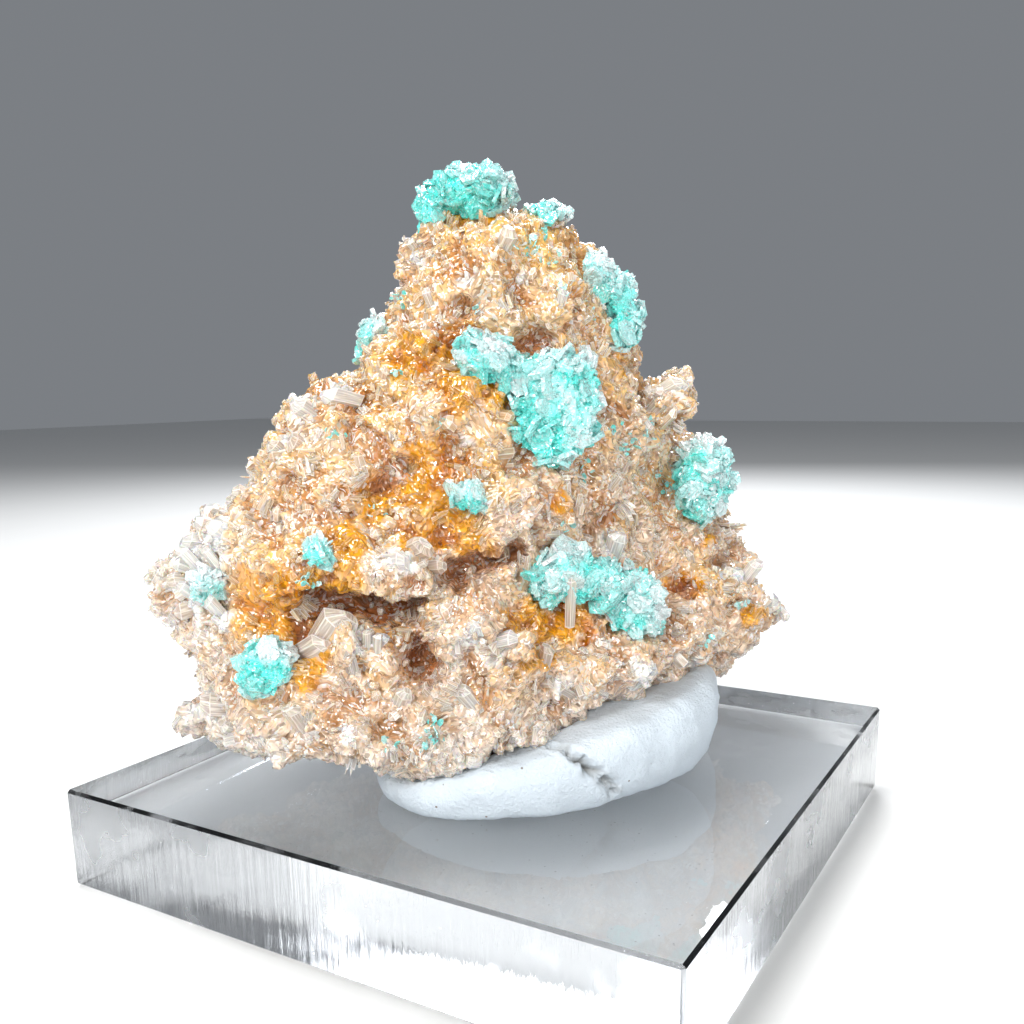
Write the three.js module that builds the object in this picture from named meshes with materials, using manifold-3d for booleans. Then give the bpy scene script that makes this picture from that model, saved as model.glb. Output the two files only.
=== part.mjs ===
// A devilline specimen: teal devilline clusters on a drusy gypsum rock, held by a pad of white
// putty on a clear acrylic display slab.
// Millimetres, +Z up. The origin is under the middle of the slab, on the surface it stands on.

import * as THREE from "three";
import { ConvexGeometry } from "three/addons/geometries/ConvexGeometry.js";
import { ImprovedNoise } from "three/addons/math/ImprovedNoise.js";
import { mergeVertices } from "three/addons/utils/BufferGeometryUtils.js";
import Module from "manifold-3d";

const wasm = await Module();
wasm.setup();

// Slab
const SLAB_SIDE = 76;
const SLAB_THICKNESS = 12;
const SLAB_CHAMFER = 0.35;

// The specimen is turned on the slab: its face looks towards the slab's front right corner.
// Everything from here on is placed in the specimen's own frame, X across its face from left to
// right, Y from front to back, Z up from the slab's underside.
const SPECIMEN_TURN_DEGREES = 30.6;
const GAP = 0.3;

// Rock. Each section is a closed curve at one height, given by its left end, its right end and
// how far its middle reaches forward (towards -Y) and back (towards +Y) of the line between them.
const SECTIONS = [
  { z: 15.6, left: [-22, -13], right: [19, 6], front: 15, back: 6 },
  { z: 17, left: [-31, -12], right: [24, 10], front: 23, back: 9 },
  { z: 20, left: [-34.5, -11], right: [27.5, 12], front: 24, back: 13 },
  { z: 23, left: [-34, -10], right: [31, 13], front: 24, back: 15 },
  { z: 26, left: [-34.5, -9], right: [34, 14], front: 24, back: 16 },
  { z: 30, left: [-36.5, -8], right: [33.5, 15], front: 23, back: 17 },
  { z: 34, left: [-38.5, -7], right: [31.5, 15], front: 22, back: 18 },
  { z: 38, left: [-37, -6], right: [28.5, 14], front: 21, back: 18 },
  { z: 42, left: [-34, -6], right: [26, 12], front: 20, back: 18 },
  { z: 46, left: [-31, -5], right: [24.5, 11], front: 19, back: 17 },
  { z: 50, left: [-27.5, -5], right: [22.5, 9], front: 18, back: 17 },
  { z: 54, left: [-25, -4], right: [18.5, 7], front: 17, back: 16 },
  { z: 57.5, left: [-19, -4], right: [16, 6], front: 15, back: 15 },
  { z: 61, left: [-15.5, -4], right: [14.5, 5], front: 13.5, back: 14 },
  { z: 65, left: [-11.5, -3], right: [13.5, 4], front: 12, back: 13 },
  { z: 69, left: [-11, -3], right: [11.5, 3], front: 10.5, back: 11 },
  { z: 73, left: [-10.5, -3], right: [8.5, 2], front: 8, back: 8 },
  { z: 76, left: [-8, -2], right: [7, 1], front: 4, back: 4 },
];
const ROCK_ROWS = 28;
const ROCK_SIDES = 50;
const ROCK_BUMPS = [
  { size: 13, height: 1.5 },
  { size: 6, height: 1.3 },
  { size: 3.3, height: 0.7 },
];
// The front of the rock's foot rises to the right, where the putty is thicker.
const FOOT_RISE = 0.17;
const FOOT_RISE_FROM_X = -15;
const FOOT_RISE_TO_X = 22;
const FOOT_DEPTH = 15;

// Lumps and dents of the rock's surface: middle, reach each way, roll in the plane of the face in
// degrees, and how far the surface stands out there, or in where it is negative.
const LUMPS = [
  { name: "tower front", at: [-3, -12, 69], reach: [9, 8, 6], roll: 0, height: 2.2 },
  { name: "tower groove", at: [0, -12, 63.5], reach: [12, 6, 2.5], roll: -8, height: -1.4 },
  { name: "tower right", at: [7, -9, 66], reach: [5, 6, 4.5], roll: 10, height: 1.8 },
  { name: "white shoulder", at: [-22, -9, 54], reach: [7, 7, 4.5], roll: 35, height: 2.6 },
  { name: "shoulder groove", at: [-14, -15, 54], reach: [4, 6, 7], roll: -35, height: -1.6 },
  { name: "upper left", at: [-19, -16, 47], reach: [9, 8, 6], roll: 20, height: 2.8 },
  { name: "upper front", at: [-6, -15, 55.5], reach: [8, 6, 4.5], roll: 15, height: 2.6 },
  { name: "upper fold", at: [-10, -17, 48.3], reach: [5.5, 6, 3.4], roll: 30, height: -3.6 },
  { name: "brow", at: [-17, -19, 39.5], reach: [13, 8, 4.2], roll: -6, height: 3.4 },
  { name: "brow left", at: [-29, -16, 41], reach: [8, 8, 5], roll: 12, height: 2.2 },
  { name: "middle", at: [1, -16, 45], reach: [9, 8, 5.5], roll: -10, height: 3 },
  { name: "middle foot", at: [-4, -17, 40.5], reach: [7, 6, 2.8], roll: 5, height: 2.2 },
  { name: "right flank", at: [15, -7, 53], reach: [7, 8, 4.5], roll: 0, height: 2 },
  { name: "right shoulder", at: [15, -10, 44.5], reach: [7, 8, 5.5], roll: 0, height: 2.6 },
  { name: "right gully", at: [20, -5, 36], reach: [5, 7, 7], roll: 15, height: -3 },
  { name: "left dent", at: [-31, -17, 29.5], reach: [6, 8, 4], roll: 0, height: -2.4 },
  { name: "lower left", at: [-26, -21, 26], reach: [9, 8, 6.5], roll: 0, height: 2.2 },
  { name: "lower front", at: [-5, -21, 32], reach: [11, 8, 4.5], roll: 8, height: 2.4 },
  { name: "lower right", at: [13, -14, 26.5], reach: [10, 8, 5], roll: 8, height: 2.2 },
  { name: "wing", at: [28, 3, 29], reach: [8, 9, 6], roll: -35, height: 2.4 },
  { name: "back top", at: [-2, 11, 64], reach: [8, 8, 8], roll: 0, height: 3 },
  { name: "back middle", at: [-12, 14, 47], reach: [12, 8, 8], roll: 15, height: 4 },
  { name: "back step", at: [0, 18, 53], reach: [13, 8, 3.4], roll: -12, height: -2.6 },
  { name: "back right", at: [13, 25, 37], reach: [10, 9, 9], roll: 0, height: 3.6 },
  { name: "back gully", at: [1, 20, 34], reach: [4.5, 9, 14], roll: 18, height: -3.4 },
  { name: "back low", at: [-15, 8, 27], reach: [11, 9, 6], roll: -10, height: 3.4 },
  { name: "back left", at: [-29, 3, 37], reach: [7, 8, 6], roll: 0, height: 2.4 },
];

// Blocks with flat faces fused to the rock: middle, half-sizes and roll.
const BLOCKS = [
  { name: "crest", at: [5, -1.5, 73.6], size: [3.8, 4, 2.4], roll: -15 },
  { name: "crest left", at: [-7, -4.5, 73.5], size: [3, 3.4, 2.2], roll: 10 },
  { name: "right knob", at: [19, 1.5, 55], size: [4.2, 4.4, 3.6], roll: 0 },
  { name: "white ridge", at: [-23.5, -8, 52.5], size: [3.2, 4, 2.2], roll: 35 },
  { name: "left tip", at: [-37, -9.5, 35], size: [5, 5.2, 4.6], roll: 25 },
  { name: "left step", at: [-34, -9, 41.5], size: [3.4, 4, 2.6], roll: 40 },
  { name: "lower left tip", at: [-34.5, -12, 20.8], size: [4.2, 4, 2.9], roll: 10 },
  { name: "brow edge", at: [-13, -20.5, 38], size: [5.5, 3.6, 2.4], roll: -10 },
  { name: "brow end", at: [-22.5, -20.5, 37], size: [4.5, 3.2, 1.8], roll: 5 },
  { name: "cheek", at: [-17.5, -20.5, 31], size: [3.4, 3.4, 2.8], roll: 40 },
  { name: "chin", at: [-3.5, -21, 33], size: [5, 3.6, 3], roll: -25 },
  { name: "bottom ledge", at: [-9, -19.5, 18.6], size: [9, 5.5, 1.9], roll: 3 },
  { name: "bottom left ledge", at: [-21, -18.5, 18.6], size: [7, 4.5, 2], roll: -6 },
  { name: "wing tip", at: [34, 14, 26.5], size: [3.4, 4.2, 2.8], roll: -20 },
  { name: "wing step", at: [30.5, 9, 34], size: [2.8, 4, 2.6], roll: -50 },
  { name: "back ledge", at: [-6, 14, 42], size: [7, 4, 2.4], roll: 10 },
  { name: "back block", at: [18, 24, 31], size: [4.4, 3.4, 3.6], roll: 20 },
];

// Hollows cut into the rock: middle, half-sizes and roll.
const HOLLOWS = [
  { name: "fold under the brow", at: [-14, -23.5, 34.2], size: [8.5, 6, 1.8], roll: -6 },
  { name: "middle slot", at: [-2, -21, 38.1], size: [4.8, 6, 1.4], roll: 4 },
  { name: "pocket", at: [-9, -25, 28.4], size: [3, 4, 2.3], roll: 20 },
  { name: "shade over the centre cluster", at: [3.4, -14, 62], size: [2.8, 3, 1.1], roll: 0 },
  { name: "back hollow", at: [-6, 18, 33], size: [4, 5, 2.6], roll: 30 },
];

// Gypsum crystals with flat faces, fused to the rock in sheaves. A sheaf stands where a line
// from the outside towards the rock's middle, at this height and compass angle, meets the rock.
// The angle is 180 at the left end, 270 in front, 0 at the right end and 90 at the back.
const SHEAVES = [
  { z: 74, angle: 340, count: 2, length: 4.5, width: 2, fan: 35 },
  { z: 69, angle: 200, count: 1, length: 4.5, width: 1.8, fan: 30 },
  { z: 55, angle: 195, count: 2, length: 5.5, width: 2.4, fan: 35 },
  { z: 48, angle: 190, count: 2, length: 5, width: 2.2, fan: 40 },
  { z: 42, angle: 185, count: 2, length: 5.5, width: 2.4, fan: 40 },
  { z: 35, angle: 188, count: 3, length: 6.5, width: 2.6, fan: 45 },
  { z: 22, angle: 195, count: 2, length: 6, width: 2.8, fan: 30 },
  { z: 33, angle: 257, count: 2, length: 7.5, width: 3.4, fan: 40 },
  { z: 30.5, angle: 272, count: 1, length: 8, width: 3, fan: 50 },
  { z: 27, angle: 268, count: 1, length: 6, width: 2.6, fan: 50 },
  { z: 24, angle: 285, count: 1, length: 5, width: 2.4, fan: 40 },
  { z: 40, angle: 300, count: 2, length: 5.5, width: 2.2, fan: 45 },
  { z: 30, angle: 350, count: 2, length: 6, width: 2.6, fan: 40 },
  { z: 25, angle: 8, count: 2, length: 6.5, width: 2.8, fan: 35 },
  { z: 37, angle: 25, count: 1, length: 5, width: 2.4, fan: 40 },
  { z: 50, angle: 60, count: 2, length: 6, width: 2.6, fan: 45 },
  { z: 36, angle: 120, count: 2, length: 6.5, width: 2.8, fan: 45 },
  { z: 26, angle: 75, count: 2, length: 6, width: 2.6, fan: 45 },
  { z: 58, angle: 130, count: 1, length: 5, width: 2.2, fan: 40 },
];
const CRYSTAL_SUNK = 0.45;
const LOBE_STANDS_OUT = 0.15;

// Devilline clusters: each lobe has a middle, half-sizes, and roll as above; blades are the flat
// plates that stand out of it. A lobe with a seat is moved in or out, along the line that looks
// slightly down on that side of the rock, until its middle lies just outside the rock's surface.
const CLUSTERS = [
  {
    name: "devilline_top",
    lobes: [
      { at: [-3.9, -2.5, 78], size: [4.9, 4.2, 2.7], roll: 0, blades: 1 },
      { at: [-7.6, -3, 76.2], size: [2.3, 3, 3], roll: -10, blades: 0 },
    ],
  },
  { name: "devilline_crest", lobes: [{ at: [4.4, -1, 75.9], size: [2.8, 2.6, 1.2], roll: -8, blades: 0 }] },
  {
    name: "devilline_upper_right",
    lobes: [
      { at: [9.4, -1.5, 69.2], size: [3.3, 3.4, 2.6], roll: -30, blades: 0 },
      { at: [11.9, -1.5, 66.6], size: [3, 3.6, 3.5], roll: -30, blades: 1 },
      { at: [12.9, -2, 63.6], size: [2.3, 3.6, 3], roll: -10, blades: 0 },
    ],
  },
  { name: "devilline_left_shoulder", lobes: [{ at: [-14.4, -4, 61.9], size: [2.7, 3.4, 3.5], roll: -20, blades: 0 }] },
  {
    name: "devilline_centre",
    lobes: [
      { at: [4.6, -14, 54.8], size: [5.1, 3.4, 6.4], roll: -12, blades: 2, seat: "front" },
      { at: [0.9, -14, 58.2], size: [2.8, 2.8, 2.4], roll: -15, blades: 0, seat: "front" },
      { at: [-2.2, -14, 59.8], size: [3.4, 3, 2.5], roll: -15, blades: 0, seat: "front" },
    ],
  },
  { name: "devilline_middle", lobes: [{ at: [-3.9, -20, 46.6], size: [1.9, 1.6, 1.8], roll: 0, blades: 1, seat: "front" }] },
  { name: "devilline_left_small", lobes: [{ at: [-19.6, -20, 40.3], size: [1.5, 1.4, 1.4], roll: 0, blades: 0, seat: "front" }] },
  { name: "devilline_far_left", lobes: [{ at: [-32.2, -17, 36.7], size: [1.9, 1.6, 2], roll: 0, blades: 0, seat: "front" }] },
  { name: "devilline_lower_left", lobes: [{ at: [-25.3, -21, 28.2], size: [3.2, 2, 2.9], roll: -20, blades: 1, seat: "front" }] },
  {
    name: "devilline_lower_centre",
    lobes: [
      { at: [5.9, -14, 36.3], size: [4.2, 2.4, 3.5], roll: 20, blades: 0, seat: "front" },
      { at: [10.2, -13, 34.8], size: [2.8, 2.4, 2.8], roll: 0, blades: 0, seat: "front" },
      { at: [13, -12, 31.8], size: [4.2, 2.8, 5.3], roll: -15, blades: 1, seat: "front" },
    ],
  },
  { name: "devilline_right", lobes: [{ at: [23.3, 0.5, 45.6], size: [3, 4.2, 5.3], roll: -8, blades: 1 }] },
  { name: "devilline_back_upper", lobes: [{ at: [-3, 12, 62], size: [3.8, 2.2, 4.4], roll: 15, blades: 0, seat: "back" }] },
  { name: "devilline_back_lower", lobes: [{ at: [11, 22, 40], size: [4.4, 2.4, 3.8], roll: 0, blades: 0, seat: "back" }] },
  { name: "devilline_back_left", lobes: [{ at: [-22, 12, 38], size: [3, 1.9, 2.8], roll: 0, blades: 0, seat: "back" }] },
];
const CLUSTER_BUMPS = [
  { size: 2.6, height: 0.5 },
  { size: 1.3, height: 0.25 },
];

// Putty pad: an oval wall, pressed up around the rock's foot, thicker on the right.
const PUTTY_MIDDLE = [5, -7.4];
const PUTTY_HALF_LENGTH = 22;
const PUTTY_HALF_WIDTH = 14;
const PUTTY_TURN_DEGREES = 34;
const PUTTY_BULGE = 1;
const PUTTY_HEIGHT_LEFT = 3;
const PUTTY_HEIGHT_RIGHT = 10.5;

const noise = new ImprovedNoise();

// Seeded pseudo-random numbers from 0 to 1, so the rock is the same each time.
function randomFrom(seed) {
  let state = seed;
  return () => {
    state = (state * 16807) % 2147483647;
    return state / 2147483647;
  };
}

function bumpHeight(p, layers, shift) {
  let sum = 0;
  for (const layer of layers) {
    const s = layer.size;
    sum += layer.height * 1.6 * noise.noise(p.x / s + shift, p.y / s + shift, p.z / s + shift);
  }
  return sum;
}

function asSolid(geometry) {
  const bare = geometry.clone();
  for (const name of Object.keys(bare.attributes)) {
    if (name !== "position") bare.deleteAttribute(name);
  }
  const merged = mergeVertices(bare, 1e-4);
  const mesh = new wasm.Mesh({
    numProp: 3,
    vertProperties: new Float32Array(merged.attributes.position.array),
    triVerts: new Uint32Array(merged.index.array),
  });
  return new wasm.Manifold(mesh);
}

// The solid's mesh, without any chip that a cut has left loose: only the largest body stays.
function asGeometry(solid) {
  const mesh = solid.getMesh();
  const faces = mesh.triVerts;
  const count = mesh.vertProperties.length / 3;
  const parent = Array.from({ length: count }, (_, i) => i);
  const root = (i) => {
    let r = i;
    while (parent[r] !== r) r = parent[r];
    parent[i] = r;
    return r;
  };
  for (let i = 0; i < faces.length; i += 3) {
    parent[root(faces[i])] = root(faces[i + 1]);
    parent[root(faces[i + 1])] = root(faces[i + 2]);
  }
  const sizes = new Map();
  for (let i = 0; i < faces.length; i += 3) sizes.set(root(faces[i]), (sizes.get(root(faces[i])) || 0) + 1);
  const largest = [...sizes.entries()].sort((a, b) => b[1] - a[1])[0][0];
  const kept = [];
  for (let i = 0; i < faces.length; i += 3) {
    if (root(faces[i]) === largest) kept.push(faces[i], faces[i + 1], faces[i + 2]);
  }
  const whole = new THREE.BufferGeometry();
  whole.setAttribute("position", new THREE.BufferAttribute(new Float32Array(mesh.vertProperties), 3));
  whole.setIndex(kept);
  return mergeVertices(whole.toNonIndexed(), 1e-5);
}

function sectionAt(z) {
  let i = 0;
  while (i < SECTIONS.length - 2 && z > SECTIONS[i + 1].z) i += 1;
  const a = SECTIONS[i];
  const b = SECTIONS[i + 1];
  const t = THREE.MathUtils.clamp((z - a.z) / (b.z - a.z), 0, 1);
  const mix = (p, q) => p + (q - p) * t;
  return {
    left: [mix(a.left[0], b.left[0]), mix(a.left[1], b.left[1])],
    right: [mix(a.right[0], b.right[0]), mix(a.right[1], b.right[1])],
    front: mix(a.front, b.front),
    back: mix(a.back, b.back),
  };
}

function rockPoint(z, angle) {
  const s = sectionAt(z);
  const t = (Math.cos(angle) + 1) / 2;
  const depth = Math.sin(angle);
  const reach = depth < 0 ? s.front : s.back;
  const x = s.left[0] + (s.right[0] - s.left[0]) * t;
  const y = s.left[1] + (s.right[1] - s.left[1]) * t + depth * reach;
  const far = THREE.MathUtils.clamp(x, FOOT_RISE_FROM_X, FOOT_RISE_TO_X) - FOOT_RISE_FROM_X;
  const front = THREE.MathUtils.smoothstep(-y, -5, 10);
  const foot = THREE.MathUtils.clamp(1 - (z - SECTIONS[0].z) / FOOT_DEPTH, 0, 1);
  return new THREE.Vector3(x, y, z + FOOT_RISE * far * front * foot);
}

// Closed surface from rings of points, with one point under the first and one over the last.
function ringSurface(rings, firstPole, lastPole) {
  const sides = rings[0].length;
  const points = [firstPole, ...rings.flat(), lastPole];
  const at = (ring, side) => 1 + ring * sides + (side % sides);
  const faces = [];
  for (let side = 0; side < sides; side += 1) {
    faces.push(0, at(0, side + 1), at(0, side));
    faces.push(points.length - 1, at(rings.length - 1, side), at(rings.length - 1, side + 1));
  }
  for (let ring = 0; ring < rings.length - 1; ring += 1) {
    for (let side = 0; side < sides; side += 1) {
      const [a, b] = [at(ring, side), at(ring, side + 1)];
      const [c, d] = [at(ring + 1, side + 1), at(ring + 1, side)];
      // The diagonal changes sides from one four-cornered face to the next, like a zigzag.
      if ((ring + side) % 2 === 0) faces.push(a, b, c, a, c, d);
      else faces.push(a, b, d, b, c, d);
    }
  }
  const geometry = new THREE.BufferGeometry();
  geometry.setAttribute("position", new THREE.Float32BufferAttribute(points.flatMap((p) => [p.x, p.y, p.z]), 3));
  geometry.setIndex(faces);
  geometry.computeVertexNormals();
  return geometry;
}

// How far the lumps and dents move the surface at a point.
function lumpHeight(p) {
  let sum = 0;
  for (const lump of LUMPS) {
    const roll = THREE.MathUtils.degToRad(lump.roll);
    const x = p.x - lump.at[0];
    const z = p.z - lump.at[2];
    const a = (x * Math.cos(roll) + z * Math.sin(roll)) / lump.reach[0];
    const b = (p.y - lump.at[1]) / lump.reach[1];
    const c = (z * Math.cos(roll) - x * Math.sin(roll)) / lump.reach[2];
    const far = a * a + b * b + c * c;
    if (far < 1) sum += lump.height * (1 - far) * (1 - far);
  }
  return sum;
}

// Moves every point out along its normal by a height worked out from where it is.
function displace(geometry, heightAt) {
  const position = geometry.attributes.position;
  const normal = geometry.attributes.normal;
  const p = new THREE.Vector3();
  const n = new THREE.Vector3();
  for (let i = 0; i < position.count; i += 1) {
    p.fromBufferAttribute(position, i);
    n.fromBufferAttribute(normal, i);
    p.addScaledVector(n, heightAt(p));
    position.setXYZ(i, p.x, p.y, p.z);
  }
  return geometry;
}

function rockBody(grow) {
  const bottom = SECTIONS[0].z;
  const top = SECTIONS[SECTIONS.length - 1].z;
  const rings = [];
  for (let row = 0; row <= ROCK_ROWS; row += 1) {
    const z = bottom + ((top - bottom) * row) / ROCK_ROWS;
    const ring = [];
    for (let side = 0; side < ROCK_SIDES; side += 1) ring.push(rockPoint(z, (side / ROCK_SIDES) * Math.PI * 2));
    rings.push(ring);
  }
  const middle = (z, lift) => {
    const p = rockPoint(z, -Math.PI / 2).add(rockPoint(z, Math.PI / 2)).multiplyScalar(0.5);
    p.z += lift;
    return p;
  };
  const smooth = ringSurface(rings, middle(bottom, -0.5), middle(top, 0.8));
  return asSolid(displace(smooth, (p) => bumpHeight(p, ROCK_BUMPS, 3.7) + lumpHeight(p) + grow));
}

// A bumpy ball stretched to its half-sizes and rolled in the plane of the face.
function blob(spec, detail, shift, grow) {
  const ball = new THREE.IcosahedronGeometry(1, detail);
  const bare = mergeVertices(ball.deleteAttribute("normal").deleteAttribute("uv"), 1e-4);
  bare.scale(...spec.size);
  bare.rotateY(THREE.MathUtils.degToRad(-spec.roll));
  bare.translate(...spec.at);
  bare.computeVertexNormals();
  return asSolid(displace(bare, (p) => bumpHeight(p, CLUSTER_BUMPS, shift) + grow));
}

// A block with flat faces: the hull of a dozen points spread over a stretched ball.
function block(spec, seed, grow) {
  const random = randomFrom(seed);
  const points = [];
  const count = 14;
  for (let i = 0; i < count; i += 1) {
    const z = 1 - (2 * i + 1) / count;
    const a = i * 2.4 + random();
    const r = Math.sqrt(1 - z * z) * (0.85 + 0.3 * random());
    const p = new THREE.Vector3(r * Math.cos(a), r * Math.sin(a), z);
    const size = new THREE.Vector3(...spec.size).addScalar(grow * 1.3);
    points.push(p.multiply(size));
  }
  const geometry = new ConvexGeometry(points);
  geometry.rotateY(THREE.MathUtils.degToRad(-spec.roll));
  geometry.translate(...spec.at);
  return asSolid(geometry);
}

// A six-sided gypsum blade with a chisel end, standing up from its middle.
function crystal(length, width) {
  const points = [];
  const thick = width * 0.55;
  const ring = (z, k) => {
    points.push(new THREE.Vector3((width / 2) * k, 0, z), new THREE.Vector3((-width / 2) * k, 0, z));
    for (const side of [-1, 1]) {
      points.push(new THREE.Vector3(width * 0.27 * k, (side * thick) / 2, z));
      points.push(new THREE.Vector3(-width * 0.27 * k, (side * thick) / 2, z));
    }
  };
  ring(0, 1);
  ring(length * 0.72, 1);
  points.push(new THREE.Vector3(width * 0.22, 0, length), new THREE.Vector3(-width * 0.1, 0, length * 0.95));
  return new ConvexGeometry(points);
}

// A thin hexagonal devilline plate standing up on its edge.
function blade(radius, thick) {
  const geometry = new THREE.CylinderGeometry(radius, radius * 0.92, thick, 6, 1);
  geometry.rotateX(Math.PI / 2);
  return geometry;
}

function place(geometry, at, facing, spin) {
  const turn = new THREE.Quaternion().setFromUnitVectors(new THREE.Vector3(0, 0, 1), facing);
  geometry.rotateZ(spin);
  geometry.applyQuaternion(turn);
  geometry.translate(at.x, at.y, at.z);
  return asSolid(geometry);
}

function lobeMiddle(lobe, target) {
  const at = new THREE.Vector3(...lobe.at);
  if (!lobe.seat) return at;
  const out = new THREE.Vector3(0, lobe.seat === "front" ? -1 : 1, 0.22).normalize();
  const caster = new THREE.Raycaster(at.clone().addScaledVector(out, 60), out.clone().negate());
  const hit = caster.intersectObject(target)[0];
  return hit.point.addScaledVector(out, lobe.size[1] * LOBE_STANDS_OUT);
}

function clusterSolid(cluster, target) {
  let solid = null;
  const random = randomFrom(cluster.name.length * 7919 + 31);
  for (const [i, lobe] of cluster.lobes.entries()) {
    const middle = lobeMiddle(lobe, target);
    const detail = lobe.size[0] * lobe.size[2] > 13 ? 2 : 1;
    const piece = blob({ ...lobe, at: middle.toArray() }, detail, 11.3 + i, 0);
    solid = solid ? solid.add(piece) : piece;
    // Blades stand on the half of the lobe that faces away from the rock's middle line.
    const out = new THREE.Vector3(middle.x * 0.6, middle.y, 0).normalize();
    for (let b = 0; b < lobe.blades; b += 1) {
      const lean = new THREE.Vector3(random() - 0.5, random() - 0.5, random() - 0.5).multiplyScalar(1.7);
      const way = lean.add(out).normalize();
      const at = middle.clone().add(way.clone().multiply(new THREE.Vector3(...lobe.size)).multiplyScalar(0.82));
      solid = solid.add(place(blade(Math.min(1.5, lobe.size[1] * 0.55), 0.55), at, way, random() * 3));
    }
  }
  return solid;
}

function puttyPad() {
  const turn = THREE.MathUtils.degToRad(PUTTY_TURN_DEGREES);
  const sides = 40;
  const base = SLAB_THICKNESS + GAP;
  // Rows up the wall: how far out of the oval, as a part of the bulge, and how high, 0 to 1.
  const rows = [
    { out: -0.9, up: 0 },
    { out: 0.1, up: 0.12 },
    { out: 0.8, up: 0.35 },
    { out: 1, up: 0.6 },
    { out: 0.6, up: 0.85 },
    { out: -0.6, up: 1 },
    { out: -3, up: 1.03 },
  ];
  const rings = rows.map((row) => {
    const ring = [];
    for (let side = 0; side < sides; side += 1) {
      const a = (side / sides) * Math.PI * 2;
      const along = Math.cos(a);
      const height = PUTTY_HEIGHT_LEFT + (PUTTY_HEIGHT_RIGHT - PUTTY_HEIGHT_LEFT) * Math.pow((along + 1) / 2, 0.6);
      const bulge = PUTTY_BULGE * row.out * (0.4 + (0.6 * height) / PUTTY_HEIGHT_RIGHT);
      const x = along * (PUTTY_HALF_LENGTH + bulge);
      const y = Math.sin(a) * (PUTTY_HALF_WIDTH + bulge);
      ring.push(new THREE.Vector3(
        PUTTY_MIDDLE[0] + x * Math.cos(turn) - y * Math.sin(turn),
        PUTTY_MIDDLE[1] + x * Math.sin(turn) + y * Math.cos(turn),
        base + row.up * height,
      ));
    }
    return ring;
  });
  const middle = (z) => new THREE.Vector3(PUTTY_MIDDLE[0], PUTTY_MIDDLE[1], z);
  return asSolid(ringSurface(rings, middle(base), middle(base + PUTTY_HEIGHT_RIGHT * 0.8)));
}

// The slab: a square plate with a narrow chamfer on its upper and lower edges.
function slabGeometry() {
  const half = SLAB_SIDE / 2;
  const inner = half - SLAB_CHAMFER;
  const points = [];
  for (const sx of [-1, 1]) {
    for (const sy of [-1, 1]) {
      points.push(new THREE.Vector3(sx * inner, sy * inner, 0), new THREE.Vector3(sx * inner, sy * inner, SLAB_THICKNESS));
      for (const z of [SLAB_CHAMFER, SLAB_THICKNESS - SLAB_CHAMFER]) {
        points.push(new THREE.Vector3(sx * half, sy * inner, z), new THREE.Vector3(sx * inner, sy * half, z));
      }
    }
  }
  return mergeVertices(new ConvexGeometry(points).deleteAttribute("normal"), 1e-4);
}

// Body and blocks joined, made larger all round by `grow` where something has to stay clear of it.
function rockWithBlocks(grow) {
  let solid = rockBody(grow);
  for (const [i, spec] of BLOCKS.entries()) solid = solid.add(block(spec, 101 + 17 * i, grow));
  return solid;
}

function nearCluster(p) {
  return CLUSTERS.some((cluster) => cluster.lobes.some((lobe) => {
    const a = (p.x - lobe.at[0]) / (lobe.size[0] + 2.2);
    const b = (p.y - lobe.at[1]) / (lobe.size[1] + 2.2);
    const c = (p.z - lobe.at[2]) / (lobe.size[2] + 2.2);
    return a * a + b * b + c * c < 1;
  }));
}

function sheafSolids(target) {
  const caster = new THREE.Raycaster();
  const solids = [];
  const random = randomFrom(4711);
  for (const sheaf of SHEAVES) {
    const a = THREE.MathUtils.degToRad(sheaf.angle);
    const middle = rockPoint(sheaf.z, 0).add(rockPoint(sheaf.z, Math.PI)).multiplyScalar(0.5);
    const out = new THREE.Vector3(Math.cos(a), Math.sin(a), 0);
    for (let i = 0; i < sheaf.count; i += 1) {
      const side = new THREE.Vector3(-out.y, out.x, 0).multiplyScalar((random() - 0.5) * sheaf.width * sheaf.count * 0.8);
      const lift = new THREE.Vector3(0, 0, (random() - 0.5) * sheaf.width * sheaf.count * 0.8);
      const aim = middle.clone().add(side).add(lift);
      caster.set(aim.clone().addScaledVector(out, 100), out.clone().negate());
      const hit = caster.intersectObject(target)[0];
      if (!hit || nearCluster(hit.point)) continue;
      const fan = Math.tan(THREE.MathUtils.degToRad(sheaf.fan));
      const lean = new THREE.Vector3(random() - 0.5, random() - 0.5, random() - 0.3).multiplyScalar(2 * fan);
      const facing = hit.face.normal.clone().add(out).normalize().add(lean).normalize();
      const length = sheaf.length * (0.75 + 0.5 * random());
      const width = sheaf.width * (0.8 + 0.4 * random());
      const at = hit.point.clone().addScaledVector(facing, -length * CRYSTAL_SUNK);
      solids.push(place(crystal(length, width), at, facing, random() * Math.PI));
    }
  }
  return solids;
}

const clear = rockWithBlocks(GAP + 0.05);
const putty = puttyPad().subtract(clear);
let rock = rockWithBlocks(0);
const bareRock = new THREE.Mesh(asGeometry(rock), new THREE.MeshBasicMaterial());
for (const solid of sheafSolids(bareRock)) rock = rock.add(solid);
for (const [i, hollow] of HOLLOWS.entries()) rock = rock.subtract(blob(hollow, 1, 8.3 + i, 0));

const part = new THREE.Group();
const specimen = new THREE.Group();
specimen.rotation.z = THREE.MathUtils.degToRad(SPECIMEN_TURN_DEGREES);
part.add(specimen);

function addPiece(parent, name, geometry, look) {
  const mesh = new THREE.Mesh(geometry, new THREE.MeshStandardMaterial({ metalness: 0, ...look }));
  mesh.name = name;
  parent.add(mesh);
}

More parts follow.
